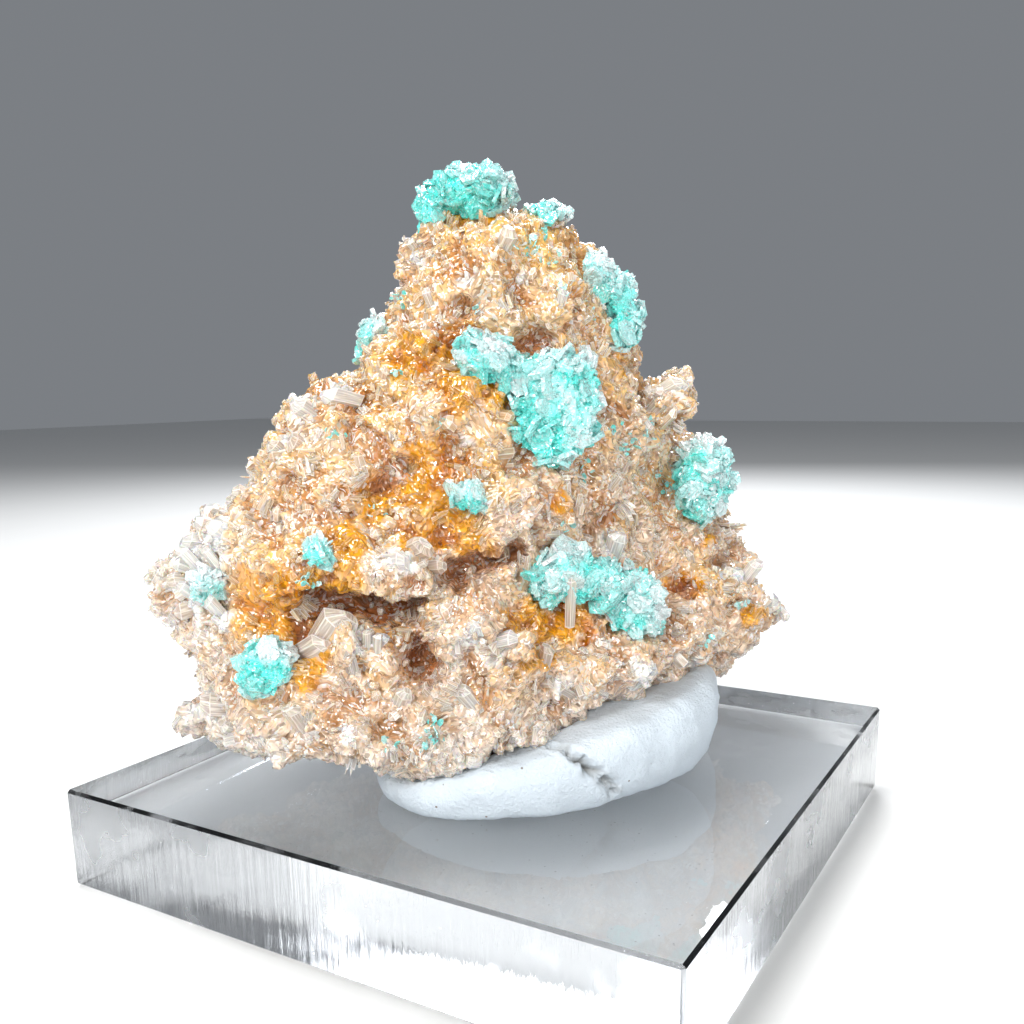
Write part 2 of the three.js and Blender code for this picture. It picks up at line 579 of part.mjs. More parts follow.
addPiece(part, "acrylic_base", slabGeometry(), { color: 0xdfe6f0, roughness: 0.05, transparent: true, opacity: 0.3 });
addPiece(specimen, "putty_pad", asGeometry(putty), { color: 0xe9edf5, roughness: 0.7 });
addPiece(specimen, "gypsum_matrix", asGeometry(rock), { color: 0xd9a27c, roughness: 0.4 });
for (const cluster of CLUSTERS) {
  addPiece(specimen, cluster.name, asGeometry(clusterSolid(cluster, bareRock).subtract(clear)), { color: 0x4fc9ab, roughness: 0.35 });
}

export default part;
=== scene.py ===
"""Devilline specimen: teal devilline clusters on a drusy gypsum rock, on a pad of white putty and a
clear acrylic slab.

Lengths in the settings are metres. Shapes are worked out in millimetres in numpy and written to the
meshes in metres. The face frame is the specimen's own: X across its face, Y from front to back.
"""
import math
from types import SimpleNamespace

import bmesh
import bpy
import numpy as np
from bpy.props import FloatProperty, FloatVectorProperty, IntProperty, PointerProperty
from bpy.types import Operator, Panel, PropertyGroup
from mathutils import Matrix, Vector


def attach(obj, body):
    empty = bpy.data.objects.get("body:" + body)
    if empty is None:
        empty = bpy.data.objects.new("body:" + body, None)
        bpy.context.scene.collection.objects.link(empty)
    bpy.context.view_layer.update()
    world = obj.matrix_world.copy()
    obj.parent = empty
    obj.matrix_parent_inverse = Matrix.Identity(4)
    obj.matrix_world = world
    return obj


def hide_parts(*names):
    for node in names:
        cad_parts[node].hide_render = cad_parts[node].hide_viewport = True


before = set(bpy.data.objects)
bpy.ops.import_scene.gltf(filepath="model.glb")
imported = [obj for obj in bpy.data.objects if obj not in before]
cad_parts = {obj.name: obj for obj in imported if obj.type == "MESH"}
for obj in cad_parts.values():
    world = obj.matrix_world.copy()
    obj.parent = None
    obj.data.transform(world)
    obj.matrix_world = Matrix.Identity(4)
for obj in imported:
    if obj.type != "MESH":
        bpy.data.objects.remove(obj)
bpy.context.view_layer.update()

bl_info = {
    "name": "Devilline specimen",
    "version": (1, 0, 0),
    "blender": (4, 5, 0),
    "location": "3D View > Sidebar > Specimen",
    "description": "Teal devilline clusters on a gypsum rock, putty pad and clear slab",
    "category": "Object",
}

MM = 0.001
FULL_TURN = 2 * math.pi
FACE_TURN = math.radians(30.6)
SLAB_TOP = 12.0
CLUSTERS = sorted(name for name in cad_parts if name.startswith("devilline_"))
GYPSUM_IOR, DEVILLINE_IOR, ACRYLIC_IOR = 1.52, 1.6, 1.49

# Places on the rock in the face frame, in millimetres: x, y, z and how far the colour reaches. Gypsum
# is lightly stained round the first, deeply round the second and hardly at all round the third.
AMBER = [
    (-22, -20, 36.5, 12), (-8, -15, 58, 10), (-7, -16, 46, 10), (-1, -6, 73, 9), (3, -18, 31, 7),
    (24, -1, 34, 7), (-14, 12, 50, 12), (8, 18, 34, 12),
]
VIVID_AMBER = [
    (-28.4, -19.5, 32.6, 3), (-26.2, -19.5, 35, 2.6), (-23.8, -20.5, 32, 4.2), (-24.4, -22.2, 36.9, 3.8),
    (-28.6, -18.4, 36.2, 3.4), (-22, -21.6, 29.6, 4), (-16.8, -21.7, 41.8, 3.4), (-20.4, -22.5, 37.5, 3),
    (-17.4, -21.4, 38.2, 3.6), (1, -19.6, 32.4, 3.4), (2.9, -16.8, 32.2, 3.8), (7, -15.4, 31.2, 3.4),
    (-7.9, -15.7, 49.3, 3.2), (-9.5, -16.2, 46.4, 2.8), (-7.4, -16.7, 43, 3.6), (-10.4, -18.4, 41.2, 2.8),
    (5.4, -15, 44.8, 2.4), (25, 2, 38.4, 2.4), (21.4, -3.7, 33.3, 2.4), (30.3, -1.7, 28.6, 2.6),
    (24.8, -1, 23.5, 3), (13.4, -4, 60.4, 2), (-4.1, -15.1, 58, 2), (-10.3, -13.3, 60.4, 3.6),
    (-0.9, -15.6, 55.6, 2.6), (-4.9, -13.6, 61.5, 3.6), (-4.8, -15.8, 57.2, 3.8),
    (-3.4, -16.5, 41.2, 3.2), (-13.2, -17.6, 45.6, 3.4), (2.6, -21.2, 29.4, 3.2), (-5.1, -4.6, 75, 2.6),
    (-0.6, -6.4, 74.6, 2.8), (12, 20, 31, 5), (-14, 12, 50, 5), (2, 10, 57, 4), (-24, 6, 34, 4),
    (20, 12, 40, 3.5),
]
CLEAR = [
    (-35, -15, 39.2, 4.6), (-33, -18.4, 34.6, 4.4), (-31.6, -16.6, 42, 3.6), (-33.6, -10, 44, 3.4),
    (-34, -15.6, 22.6, 4.2), (-30.6, -20, 22.6, 3), (-17.6, -24.4, 22.6, 2.4), (-4.2, -23.4, 32, 2.4),
    (-1.7, -22.1, 30.1, 2.2), (11.6, -8.8, 39.4, 2.8), (-5.1, -15.9, 50.7, 1.6), (27.6, 1, 33.8, 2.6),
    (34.6, 12, 28.2, 3.6), (22.3, -5.9, 24.9, 2.4), (14, -16.9, 25.4, 3.6), (5.1, -19.2, 25, 3.4),
    (-4.4, -13.1, 69.7, 2.2), (1.6, -10.9, 68.6, 1.8), (-22.6, -12.4, 55.2, 3.4),
    (-18.5, -12.1, 57.2, 2.6), (-23.2, -14, 51.6, 2.2), (-11.6, -22, 39.6, 3), (-15.6, -22.6, 31.7, 2),
    (-10, -6, 71.5, 2.6), (-2, 18, 40, 4), (16, 18, 22, 4), (-20, 10, 24, 4),
]
# Larger clear crystals: x, y, z, the lean from upright to the right and the tilt to the front in
# degrees, then length, width and thickness in millimetres.
CRYSTALS = [
    (-29.6, -3, 47.5, -55, 10, 2.8, 2.2, 1.8), (-31.3, -4.3, 44.8, -60, 20, 2.6, 2, 1.6),
    (-32.4, -2.1, 43.5, -70, 10, 3, 2.2, 1.8), (-33.1, -9.7, 43.6, -60, 20, 2.6, 1.9, 1.5),
    (-32.7, -14.4, 42.6, -65, 25, 2.8, 2, 1.6), (-33.8, -14.9, 40.8, -75, 25, 3.2, 2.2, 1.8),
    (-35.9, -13.6, 36.3, -85, 10, 3.2, 2.4, 2), (-34.9, -15.2, 38.2, -60, 20, 3.2, 1.6, 1.4),
    (-35, -15.4, 33.6, -100, 20, 3.4, 2, 1.6), (-33.8, -16.4, 38.8, -38, 8, 4.2, 1.5, 1.2),
    (-31.3, -17.4, 39.1, -30, 10, 3.8, 1.3, 1.1), (-33.8, -17.2, 35.4, -50, 12, 4.2, 1.6, 1.3),
    (-31, -18.5, 33.9, -35, 15, 3.8, 1.5, 1.2), (-32, -16.6, 22.8, -80, 10, 4.4, 3.4, 2.4),
    (-30, -18.6, 21.4, -110, 20, 3.4, 2.4, 2), (-18.8, -21.5, 32.4, 38, 25, 5.4, 4, 2.4),
    (-20.6, -21.4, 30.6, 60, 25, 4, 2.6, 2), (-15.1, -21.6, 30.2, 4, 15, 5, 1.3, 1.2),
    (-14, -21.7, 30, 6, 15, 4.4, 1.1, 1.1), (-16.7, -21.7, 28.2, -8, 20, 4.2, 1.6, 1.4),
    (-12.6, -20.9, 39.4, 78, 40, 5, 2.4, 1.6), (-10.4, -19.4, 40.2, 62, 40, 5.4, 2.8, 1.6),
    (-8.6, -18.8, 38.6, 84, 30, 4, 2, 1.4), (6.5, -16.5, 33.9, 1, 12, 6, 1.5, 1.2),
    (11.9, -8.8, 38.6, 14, 25, 4.4, 2.6, 1.8), (-22.2, -14.4, 50.8, -48, 35, 3.6, 2.4, 1.8),
    (-21.4, -12.9, 54.6, -50, 35, 4.2, 2.6, 1.8), (-18, -12.1, 55.9, -75, 35, 4.2, 2.4, 1.8),
    (-24.6, -13.6, 50.2, -45, 20, 3.2, 1.8, 1.6), (19.2, -0.9, 56.6, 60, 20, 3.4, 2.6, 2),
    (17.4, -1.4, 54, 40, 30, 3, 2, 1.6), (34.2, 11.9, 27.8, 85, 10, 4, 2.4, 2),
    (29.6, 1, 33.6, 25, 30, 4.4, 1.8, 1.4), (22, -0.8, 35.8, -20, 30, 3.4, 1.6, 1.4),
    (-1.2, -22.2, 31.2, 70, 30, 4.2, 2.4, 1.8), (-4.4, -23, 32.4, 50, 40, 3.6, 2, 1.4),
    (3.5, -19.8, 28.4, 10, 25, 4, 1.8, 1.4), (-4.4, -23.1, 25.2, -30, 25, 3.8, 2, 1.6),
    (-11.8, -22.3, 25, 25, 30, 3.6, 2, 1.6), (-22.1, -23.5, 23.4, -20, 25, 4, 2, 1.6),
    (6.3, -18.2, 24.6, -50, 25, 4, 2.2, 1.8), (14.3, -14.6, 25, 40, 20, 3.8, 2, 1.6),
    (-0.1, -11.7, 71.6, 30, 30, 3, 2, 1.4), (-8.3, -10.6, 66, -20, 20, 2.6, 1.2, 1),
    (5.7, -10.3, 65.6, 15, 25, 3, 1.4, 1.2),
]
# Hollows, each a line of places x, y, z with its half width and its depth.
HOLLOWS = [
    ([(-20, -20.5, 35.2), (-17.2, -18.4, 34.6), (-14, -18.3, 34.3), (-11.4, -18.9, 35)], 2.2, 2.6),
    ([(-16.4, -18.5, 33.2), (-14.6, -18.5, 32.8)], 1.8, 2),
    ([(-6, -17.3, 37.2), (-3.1, -16.6, 38.5), (0.2, -16, 39.6)], 1.5, 2.4),
    ([(-9.4, -21.5, 29.2), (-9, -21.3, 28.2)], 2.5, 3.2), ([(-9.8, -22.3, 37)], 1.2, 1.2),
    ([(1.4, -12.4, 61), (3.8, -11, 61.6)], 1.4, 1.8), ([(-4.7, -12.5, 65.1)], 1.1, 1.4),
    ([(-12, -15.2, 48.4), (-14.4, -17.2, 47.2)], 1.7, 1.6),
    ([(-22.6, -21.1, 33.4), (-22, -21.1, 31.6)], 1.2, 1.5),
    ([(20.6, -4.4, 36), (21.4, -4, 31.4)], 1.7, 1.8),
    ([(-8, 15, 34), (-3, 17, 35), (2, 18, 33.5)], 2.2, 2.4), ([(-1, 12, 52), (2, 12, 50)], 1.8, 2),
    ([(14, 19, 26)], 2.2, 2.2), ([(-20, 8, 40), (-17, 11, 39)], 1.8, 2),
]
HOLLOW_PUSH = 1.5
# How much clearer than usual a cluster is, below 0 for deeper teal.
CLEARNESS = {
    "devilline_top": -0.24, "devilline_crest": 0.05, "devilline_upper_right": 0.12,
    "devilline_left_shoulder": 0.1, "devilline_left_small": -0.15, "devilline_middle": -0.1,
    "devilline_far_left": 0.3, "devilline_lower_left": -0.2, "devilline_right": 0.05,
}
# Places of the flecks, and the line of the putty's crack, with its shape in millimetres: how far and
# how broadly it sways, its half width and depth, and the lip along it and the painted shade in it.
FLECKS = [
    (3.2, -8.8, 70.9), (4.4, -8.2, 70.6), (4.5, -5.4, 73.2), (2.4, -9.2, 71.5), (3.8, -4.8, 73.7),
    (0.4, -10.5, 72.1), (-11.5, -6.5, 66.5), (-3.1, -12.7, 65.1), (5.6, -9.9, 66.6), (9.1, -6.7, 64.3),
    (-11.8, -13, 58.4), (-7.2, -16.4, 53), (11.6, -9.7, 52.3), (13.9, -6.8, 50.8), (15.3, -6.1, 51.2),
    (16, -5, 52.6), (12.7, -7.5, 49.7), (8.7, -11.4, 48.9), (-18.8, -14.7, 51.8), (-14, -18.1, 44.5),
    (-8.9, -23.9, 20.9), (-8.3, -24, 22), (-8.2, -24, 23.2), (-13, -24.4, 20.7), (5.8, -13.9, 42),
    (8.4, -11.2, 46.5), (18.2, -0.8, 45.7), (19.2, -0.4, 44.8), (27.9, -3.4, 30.7), (22.8, -7.9, 27.5),
    (-20.6, -22.4, 38), (6.4, 14, 58), (-8, 16, 47), (10, 18, 38), (-16, 12, 30),
]
CRACK = [
    (4.5, -21.2, 19), (6.5, -22.5, 18.5), (8.1, -22.4, 17.3), (9.6, -21.7, 15.9), (11, -20.6, 14.2),
]
CRACKED = SimpleNamespace(
    places=60,
    sway=0.25,
    sway_size=2.0,
    width=0.6,
    depth=2.0,
    lip=0.4,
    lip_away=0.9,
    lip_width=0.35,
    shade_width=0.75,
    crumble=0.6,
    crumble_size=0.8,
)
# How far the putty swells, and its foot, which spreads onto the slab and stops just above it.
PUTTY_LIFT = 0.2
PUTTY_FOOT = SimpleNamespace(height=1.2, lower=0.3, gap=0.02)

# The rock's left foot, which stands higher than the rest: its middle, reach and lift, and where the
# lift begins and is whole, below and in front.
FOOT = SimpleNamespace(x=-20.0, reach=7.0, lift=2.0, below=(-23.0, -16.0), front=(2.0, 12.0))

# Relief of waves, each layer with its height, its size in millimetres and its seed.
CRUST_WAVES = [(0.9, 5.0, 1), (0.5, 2.4, 2)]
HEART_WAVES = [(0.2, 2.4, 70)]
PUTTY_WAVES = [(0.2, 7.0, 81), (0.07, 2.2, 82), (0.03, 0.9, 87)]
# Relief of crystal facets, each layer with its height, the size of a bundle and of a crystal in
# millimetres, the crystals' slimness and its seed.
CRUST_FACETS = [(0.9, 6.0, 2.6, 0.4, 301), (0.5, 3.4, 1.3, 0.4, 311)]
HEART_FACETS = [(0.34, 3.2, 1.5, 0.5, 400), (0.16, 1.8, 0.7, 0.5, 450)]
# Seams run over the crust where a wave of this size passes through 0.
SEAM = SimpleNamespace(size=6.0, seed=4, width=0.16, depth=0.9)
# How deep the crust's relief is where its painted shade begins and is darkest.
PAINTED_SHADE_DEPTHS = (-0.4, 1.6)
# The edge of the faces of a cluster's heart in metres, and how many rounds ease each surface.
HEART_VOXEL = 0.00024
EASING = SimpleNamespace(rock=5, heart=6, putty=12)

# Seeds of the noise in the colours, the ways of the crystals and their growth, and of the draws.
SEEDS = SimpleNamespace(
    drift=21,
    fine=22,
    finer=23,
    bend=24,
    ways=31,
    blade_growth=41,
    blades=51,
    grain_growth=42,
    grains=151,
    crystals=251,
    rim=61,
    heart_rim=62,
    clusters=100,
    flecks=200,
    crack=83,
    crumble=88,
)

# Sheaves of blades: in how many pieces, blades in a sheaf, the size of the field that turns them and
# their scatter, the growth's usual share, swing and size of swing, and how much shorter the outer
# blades are. Pairs are the lowest and highest value of a draw, and those of a tone the two powers of
# its beta distribution. The look is how see-through and pale they are, how fine their lines are and
# how broad the painted highlights along their edges are.
BLADES = SimpleNamespace(
    pieces=2,
    sheaf=8,
    field=8.0,
    scatter=0.35,
    lift=(-4.0, 24.0),
    growth=(0.8, 0.45, 9.0),
    spread=0.25,
    half=(0.54, 1.17),
    fan=(0.0, 0.35),
    waver=0.06,
    roll=0.15,
    longest=1.1,
    shorter=0.5,
    back=(-0.5, 0.5),
    rise=(-0.25, 0.15),
    length=(0.7, 1.25),
    width=(0.6, 1.5),
    thick=(0.5, 1.0),
    tone=(1.3, 3.2),
    own_tone=(-0.1, 0.2),
    look={"transmission": 0.2, "paleness": 0.45, "fineness": 2.4, "edge": 0.3},
)
# Stubby grains and larger crystals, in the same words. Length, thickness and how far a crystal is sunk
# are shares of its width. Where the gypsum is clear, they are larger, paler and more often kept.
GRAINS = SimpleNamespace(
    pieces=3,
    field=5.0,
    scatter=0.6,
    lift=(25.0, 90.0),
    growth=(0.85, 0.4, 7.0),
    spread=0.3,
    length=(0.88, 1.65),
    thick=(0.55, 1.0),
    sunk=0.2,
    tone=(1.3, 2.8),
    larger=0.5,
    paler=0.2,
    look={"transmission": 0.25, "paleness": 0.5, "fineness": 2.4, "edge": 0.26},
)
CLEAR_CRYSTALS = SimpleNamespace(
    field=6.0,
    scatter=0.4,
    lift=(4.0, 50.0),
    kept=0.6,
    kept_more=0.4,
    least=0.55,
    range=1.1,
    width=(1.3, 3.6),
    length=(1.3, 2.6),
    thick=(0.5, 0.9),
    sunk=0.38,
    tone=(1.2, 2.0),
    paler=0.3,
    look={"transmission": 0.42, "paleness": 0.6, "fineness": 3.6, "edge": 0.16},
    placed_clear=0.5,
    placed_vivid=0.35,
    placed_rust=0.3,
)
# The share of crystals left in a hollow, how far above the slab they begin, and how far down a face
# may look and still carry them.
SEAT = SimpleNamespace(in_hollows=0.15, above_slab=1.5, facing_down=-0.5)
# Plates edge-on in a cluster's surface, the larger scales lying on it and the flecks, in the same
# words. `off_face` and `off_middle` are how much a plate points away from each.
PLATES = SimpleNamespace(
    off_face=0.7,
    off_middle=0.6,
    scatter=0.75,
    spread=0.3,
    largest=1.0,
    rise=(-0.5, 0.3),
    thick=(0.3, 0.8),
    paler=0.5,
    own_rim=0.14,
)
SCALES = SimpleNamespace(tilt=0.35, radius=(0.7, 1.5), thick=(0.3, 0.5), above=0.05, paler=0.15, own_rim=0.1)
FLECK_PLATES = SimpleNamespace(
    each=(5, 12), scatter=0.45, above=0.15, tilt=0.7, radius=(0.2, 0.42), thick=0.3, rim=(0.05, 0.55)
)
# How clear a cluster is: as a rule, and how much more at its edge, to its upper right and in patches.
RIM = SimpleNamespace(
    usual=0.26,
    edge=0.34,
    upper_right=0.6,
    patches=0.3,
    patch_size=3.4,
    heart_deeper=0.1,
    heart_patches=0.15,
    heart_patch_size=1.0,
)

# Lights: place and size in metres, power in watts and colour.
LIGHTS = {
    "key": ((-0.03, -0.42, 0.32), (0.22, 0.22), 1.8, (1.0, 0.99, 0.97)),
    "glint": ((0.16, -0.46, 0.2), (0.05, 0.05), 0.7, (1.0, 1.0, 1.0)),
    "fill": ((0.44, -0.16, 0.17), (0.3, 0.3), 1.0, (1.0, 1.0, 0.99)),
    "back": ((-0.16, 0.4, 0.34), (0.3, 0.16), 2.4, (0.95, 0.97, 1.0)),
    "top": ((-0.08, -0.02, 0.5), (0.16, 0.16), 1.5, (1.0, 1.0, 1.0)),
}
LIGHTS_AIM = (0.0, 0.0, 0.045)
SKY = SimpleNamespace(colour=(0.80, 0.85, 0.92), strength=0.25)
FLOOR = SimpleNamespace(half=1.5, z=-0.0002, roughness=0.85, smudge_scale=0.05, smudge=0.97)
# The camera's place in metres, and its azimuth, elevation and roll in degrees.
CAMERA = SimpleNamespace(
    place=(0.0635, -0.1072, 0.0569), angles=(30.61, 12.54, -0.78), sensor=36.0, shift=0.0996, near=0.005
)


def length_setting(name, description, default):
    return FloatProperty(name=name, description=description, default=default, unit="LENGTH")


def number_setting(name, description, default):
    return IntProperty(name=name, description=description, default=default)


def colour_setting(name, description, default):
    return FloatVectorProperty(name=name, description=description, default=default, subtype="COLOR")


class RockSettings(PropertyGroup):
    voxel: length_setting("Grain", "Edge of the crust's faces", 0.00044)
    relief: length_setting("Relief", "Height of the crust's bumps", 0.0006)
    sheaves: number_setting("Sheaves", "Number of bundles of blades", 750)
    grains: number_setting("Grains", "Number of stubby gypsum crystals", 3300)
    crystals: number_setting("Clear crystals", "Number of larger clear crystals", 3200)
    length: length_setting("Blade length", "Usual length of a blade", 0.0013)
    width: length_setting("Blade width", "Usual width of a blade", 0.00033)
    grain: length_setting("Grain size", "Usual width of a stubby crystal", 0.00078)
    beige: colour_setting("Beige", "Plain gypsum", (0.70, 0.50, 0.35))
    amber: colour_setting("Amber", "Lightly stained", (0.80, 0.45, 0.12))
    vivid: colour_setting("Vivid amber", "Strongly stained", (0.72, 0.31, 0.003))
    rust: colour_setting("Rust", "Inside the hollows", (0.46, 0.18, 0.06))
    clear: colour_setting("Clear", "Clear crystal tips", (0.80, 0.78, 0.75))


class DevillineSettings(PropertyGroup):
    plate: length_setting("Plate radius", "Usual radius of a plate", 0.00048)
    density: FloatProperty(name="Plates", description="Plates on a square millimetre", default=0.9)
    scales: FloatProperty(name="Scales", description="Larger scales on a square millimetre", default=0.22)
    teal: colour_setting("Teal", "Heart of a cluster", (0.10, 0.82, 0.73))
    aqua: colour_setting("Aqua", "Outer plates", (0.47, 0.89, 0.87))
    rim: colour_setting("Rim", "Nearly clear rims", (0.83, 0.95, 0.96))


class PuttySettings(PropertyGroup):
    white: colour_setting("White", "Putty colour", (0.78, 0.87, 0.95))
    voxel: length_setting("Grain", "Edge of the putty's faces", 0.00035)


class SlabSettings(PropertyGroup):
    tint: colour_setting("Tint", "Acrylic tint", (0.95, 0.975, 1.0))


class StageSettings(PropertyGroup):
    floor: colour_setting("Floor", "Floor colour", (0.74, 0.74, 0.73))
    lens: FloatProperty(name="Lens", description="Camera lens in millimetres", default=35.86)


def face_turn(points, angle):
    """Points turned about Z by an angle: x' = x cos - y sin, y' = x sin + y cos."""
    c, s = math.cos(angle), math.sin(angle)
    x, y, z = points.T
    return np.stack([x * c - y * s, x * s + y * c, z], 1)


def unit(vectors):
    return vectors / np.maximum(np.linalg.norm(vectors, axis=1), 1e-9)[:, None]


def smooth_step(value, low, high):
    t = np.clip((value - low) / (high - low), 0, 1)
    return t * t * (3 - 2 * t)


def bell(distance, width):
    return np.exp(-((distance / width) ** 2))


def waves(points, size, seed, terms=18):
    """Smooth noise of about -1 to 1: a sum of sine waves in random directions, each about `size` long."""
    shortest, longest, peak = 0.7, 1.9, 1.7
    rng = np.random.default_rng(seed)
    ways = unit(rng.normal(size=(terms, 3)))
    lengths = size * rng.uniform(shortest, longest, terms)
    phases = rng.uniform(0, FULL_TURN, terms)
    angle = points @ (ways / lengths[:, None]).T * FULL_TURN + phases
    return np.sin(angle).sum(1) / (0.5 * terms) ** 0.5 / peak


def wander(points, size, seed, terms=18):
    """A smoothly changing vector at each point, each part of it waves of its own."""
    return np.stack([waves(points, size, seed + i, terms) for i in range(3)], 1)


def nearness(points, places):
    """1 at any of the places, falling smoothly to 0 at the reach of each: (1 - (d / reach)^2)^2, the
    largest."""
    best = np.zeros(len(points))
    for x, y, z, reach in places:
        far = ((points - (x, y, z)) ** 2).sum(1) / (reach * reach)
        best = np.maximum(best, np.clip(1 - far, 0, 1) ** 2)
    return best


def along_line(line, count):
    """Places spaced out along a line of places, each stretch of it in equal steps."""
    line = np.array(line)
    steps = np.linspace(0, len(line) - 1, count)
    return np.stack([np.interp(steps, np.arange(len(line)), line[:, i]) for i in range(3)], 1)


def chance(cells, seed, count):
    """Random numbers from 0 to 1 for whole-numbered cells x, y, z, the same each time: a hash of the
    three, stepped on by a linear congruence for each number. The first two are too alike and left out."""
    cell_primes, seed_prime = np.array([73856093, 19349663, 83492791]), 2654435761
    times, more, word = 1664525, 1013904223, 0xFFFFFFFF
    mixed = (cells * cell_primes).astype(np.int64)
    state = (mixed[:, 0] ^ mixed[:, 1] ^ mixed[:, 2] ^ (seed * seed_prime)) & word
    drawn = []
    for _ in range(count + 2):
        state = (state * times + more) & word
        drawn.append((state ^ (state >> 15)) / (word + 1))
    return np.stack(drawn[2:], 1)


def crystal_cells(points, size, seed):
    """The nearest crystal of each point: crystals sit one in each cube of a grid, at a random place in
    it. Returns the way from the crystal's middle to the point, and four random numbers of the crystal."""
    home = np.floor(points / size).astype(np.int64)
    best = np.full(len(points), np.inf)
    away = np.zeros_like(points)
    own = np.zeros((len(points), 4))
    steps = np.stack(np.meshgrid([-1, 0, 1], [-1, 0, 1], [-1, 0, 1]), -1).reshape(-1, 3)
    for step in steps:
        cell = home + step
        draw = chance(cell, seed, 7)
        offset = points - (cell + draw[:, :3]) * size
        far = (offset**2).sum(1)
        nearer = far < best
        best[nearer] = far[nearer]
        away[nearer] = offset[nearer]
        own[nearer] = draw[nearer, 3:]
    return away, own


def facets(points, bundle, size, slim, seed):
    """Relief of faceted crystals lying in bundles, about -1 to 1: each crystal is a plane with a tilt
    and a height of its own. Lengths along the bundle's way count for `slim` of themselves, so that
    the crystals come out 1 / slim times as long as wide."""
    height_share, slope_share = 1.3, 2.2
    _away, own = crystal_cells(points, bundle, seed)
    way = unit(own[:, :3] - 0.5)
    pressed = points - way * ((points * way).sum(1) * (1 - slim))[:, None]
    away, own = crystal_cells(pressed, size, seed + 1)
    slope = ((own[:, :3] - 0.5) * away).sum(1) / size
    return np.clip(height_share * (own[:, 3] - 0.5) + slope_share * slope, -1, 1)


def relief(points, wave_layers, facet_layers=(), turn=0):
    """The layers' relief added up, with `turn` more on each seed."""
    wavy = sum(share * waves(points, size, seed + turn) for share, size, seed in wave_layers)
    return wavy + sum(share * facets(points, *sizes, seed + turn) for share, *sizes, seed in facet_layers)


def hollow_share(face_points):
    """How far inside a hollow each point is, 0 to 1, and the way in, in millimetres of depth.

    A hollow's share falls as (1 - (d / reach)^2)^2 from its line, d being the distance and the reach
    one and a half times the half width."""
    reach = 1.5
    share, depth = np.zeros((2, len(face_points)))
    for line, half, deep in HOLLOWS:
        path = along_line(line, 1 if len(line) == 1 else 4 * len(line))
        here = nearness(face_points, [(*place, half * reach) for place in path])
        share = np.maximum(share, here)
        depth = np.maximum(depth, deep * here)
    return share, depth


def stain_marks(face_points):
    """The colour masks at points of the face frame, 0 to 1: amber, more of it high on the rock, vivid
    amber, rust in the hollows, clear, more of it low and at the left edge, and deep, the painted shade
    between the crystals, which is 0 here."""
    x, z = face_points[:, 0], face_points[:, 2]
    drift = waves(face_points, 11.0, SEEDS.drift)
    bent = face_points + wander(face_points, 3.0, SEEDS.bend)
    fine = waves(face_points, 3.2, SEEDS.fine)
    finer = waves(face_points, 1.2, SEEDS.finer)
    high = smooth_step(z - 0.15 * x, 38, 58)
    low = smooth_step(-z, -27, -18)
    edge = smooth_step(-x, 24, 36)
    stained = 0.12 + 0.42 * high + 0.6 * nearness(bent, AMBER) - 0.25 * low
    amber = np.clip(stained + 0.26 * drift + 0.26 * fine + 0.16 * finer, 0, 1)
    vivid = smooth_step(2.0 * nearness(bent, VIVID_AMBER) + 0.16 * fine + 0.1 * finer, 0.05, 0.5)
    rust = smooth_step(hollow_share(face_points)[0] + 0.12 * fine, 0.1, 0.75)
    clear = smooth_step(1.1 * nearness(bent, CLEAR) + 0.16 * fine + 0.14 * finer, 0.12, 0.7)
    clear = np.clip(np.maximum(clear, 0.5 * np.maximum(edge, low) * (0.7 + 0.5 * drift)), 0, 1)
    return {"amber": amber, "vivid": vivid, "rust": rust, "clear": clear, "deep": np.zeros(len(x))}


def fine_surface(node, voxel, rounds):
    """A CAD node's surface with even small faces, its flat facets eased: a copy with its loose
    triangles merged, remeshed by voxels and smoothed.

    Returns vertices in millimetres, four-cornered faces and vertex normals."""
    mesh = node.data.copy()
    work = bmesh.new()
    work.from_mesh(mesh)
    bmesh.ops.remove_doubles(work, verts=work.verts, dist=1e-6)
    work.to_mesh(mesh)
    work.free()
    piece = bpy.data.objects.new("work_copy", mesh)
    bpy.context.scene.collection.objects.link(piece)
    remesh = piece.modifiers.new("remesh", "REMESH")
    remesh.mode = "VOXEL"
    remesh.voxel_size = voxel
    ease = piece.modifiers.new("ease", "SMOOTH")
    ease.factor = 0.6
    ease.iterations = rounds
    bpy.context.view_layer.update()
    done = piece.evaluated_get(bpy.context.evaluated_depsgraph_get()).to_mesh()
    verts = np.empty(len(done.vertices) * 3)
    done.vertices.foreach_get("co", verts)
    normals = np.empty(len(done.vertices) * 3)
    done.vertices.foreach_get("normal", normals)
    loops = np.empty(len(done.loops), dtype=np.int64)
    done.loops.foreach_get("vertex_index", loops)
    if len(loops) != 4 * len(done.polygons):
        raise RuntimeError("the remeshed surface of " + node.name + " has faces that are not four-cornered")
    bpy.data.objects.remove(piece)
    bpy.data.meshes.remove(mesh)
    return verts.reshape(-1, 3) / MM, loops.reshape(-1, 4), normals.reshape(-1, 3)


def four_cornered(verts, quads):
    """A surface of four-cornered faces in the form that new_piece takes."""
    return verts, quads.ravel(), np.full(len(quads), 4)


def joined(parts):
    """Several meshes as one: their vertices, corners and corner counts one after another."""
    verts, loops, sizes = zip(*parts)
    starts = np.cumsum([0] + [len(part) for part in verts[:-1]])
    loops = [part + start for part, start in zip(loops, starts)]
    return np.concatenate(verts), np.concatenate(loops), np.concatenate(sizes)


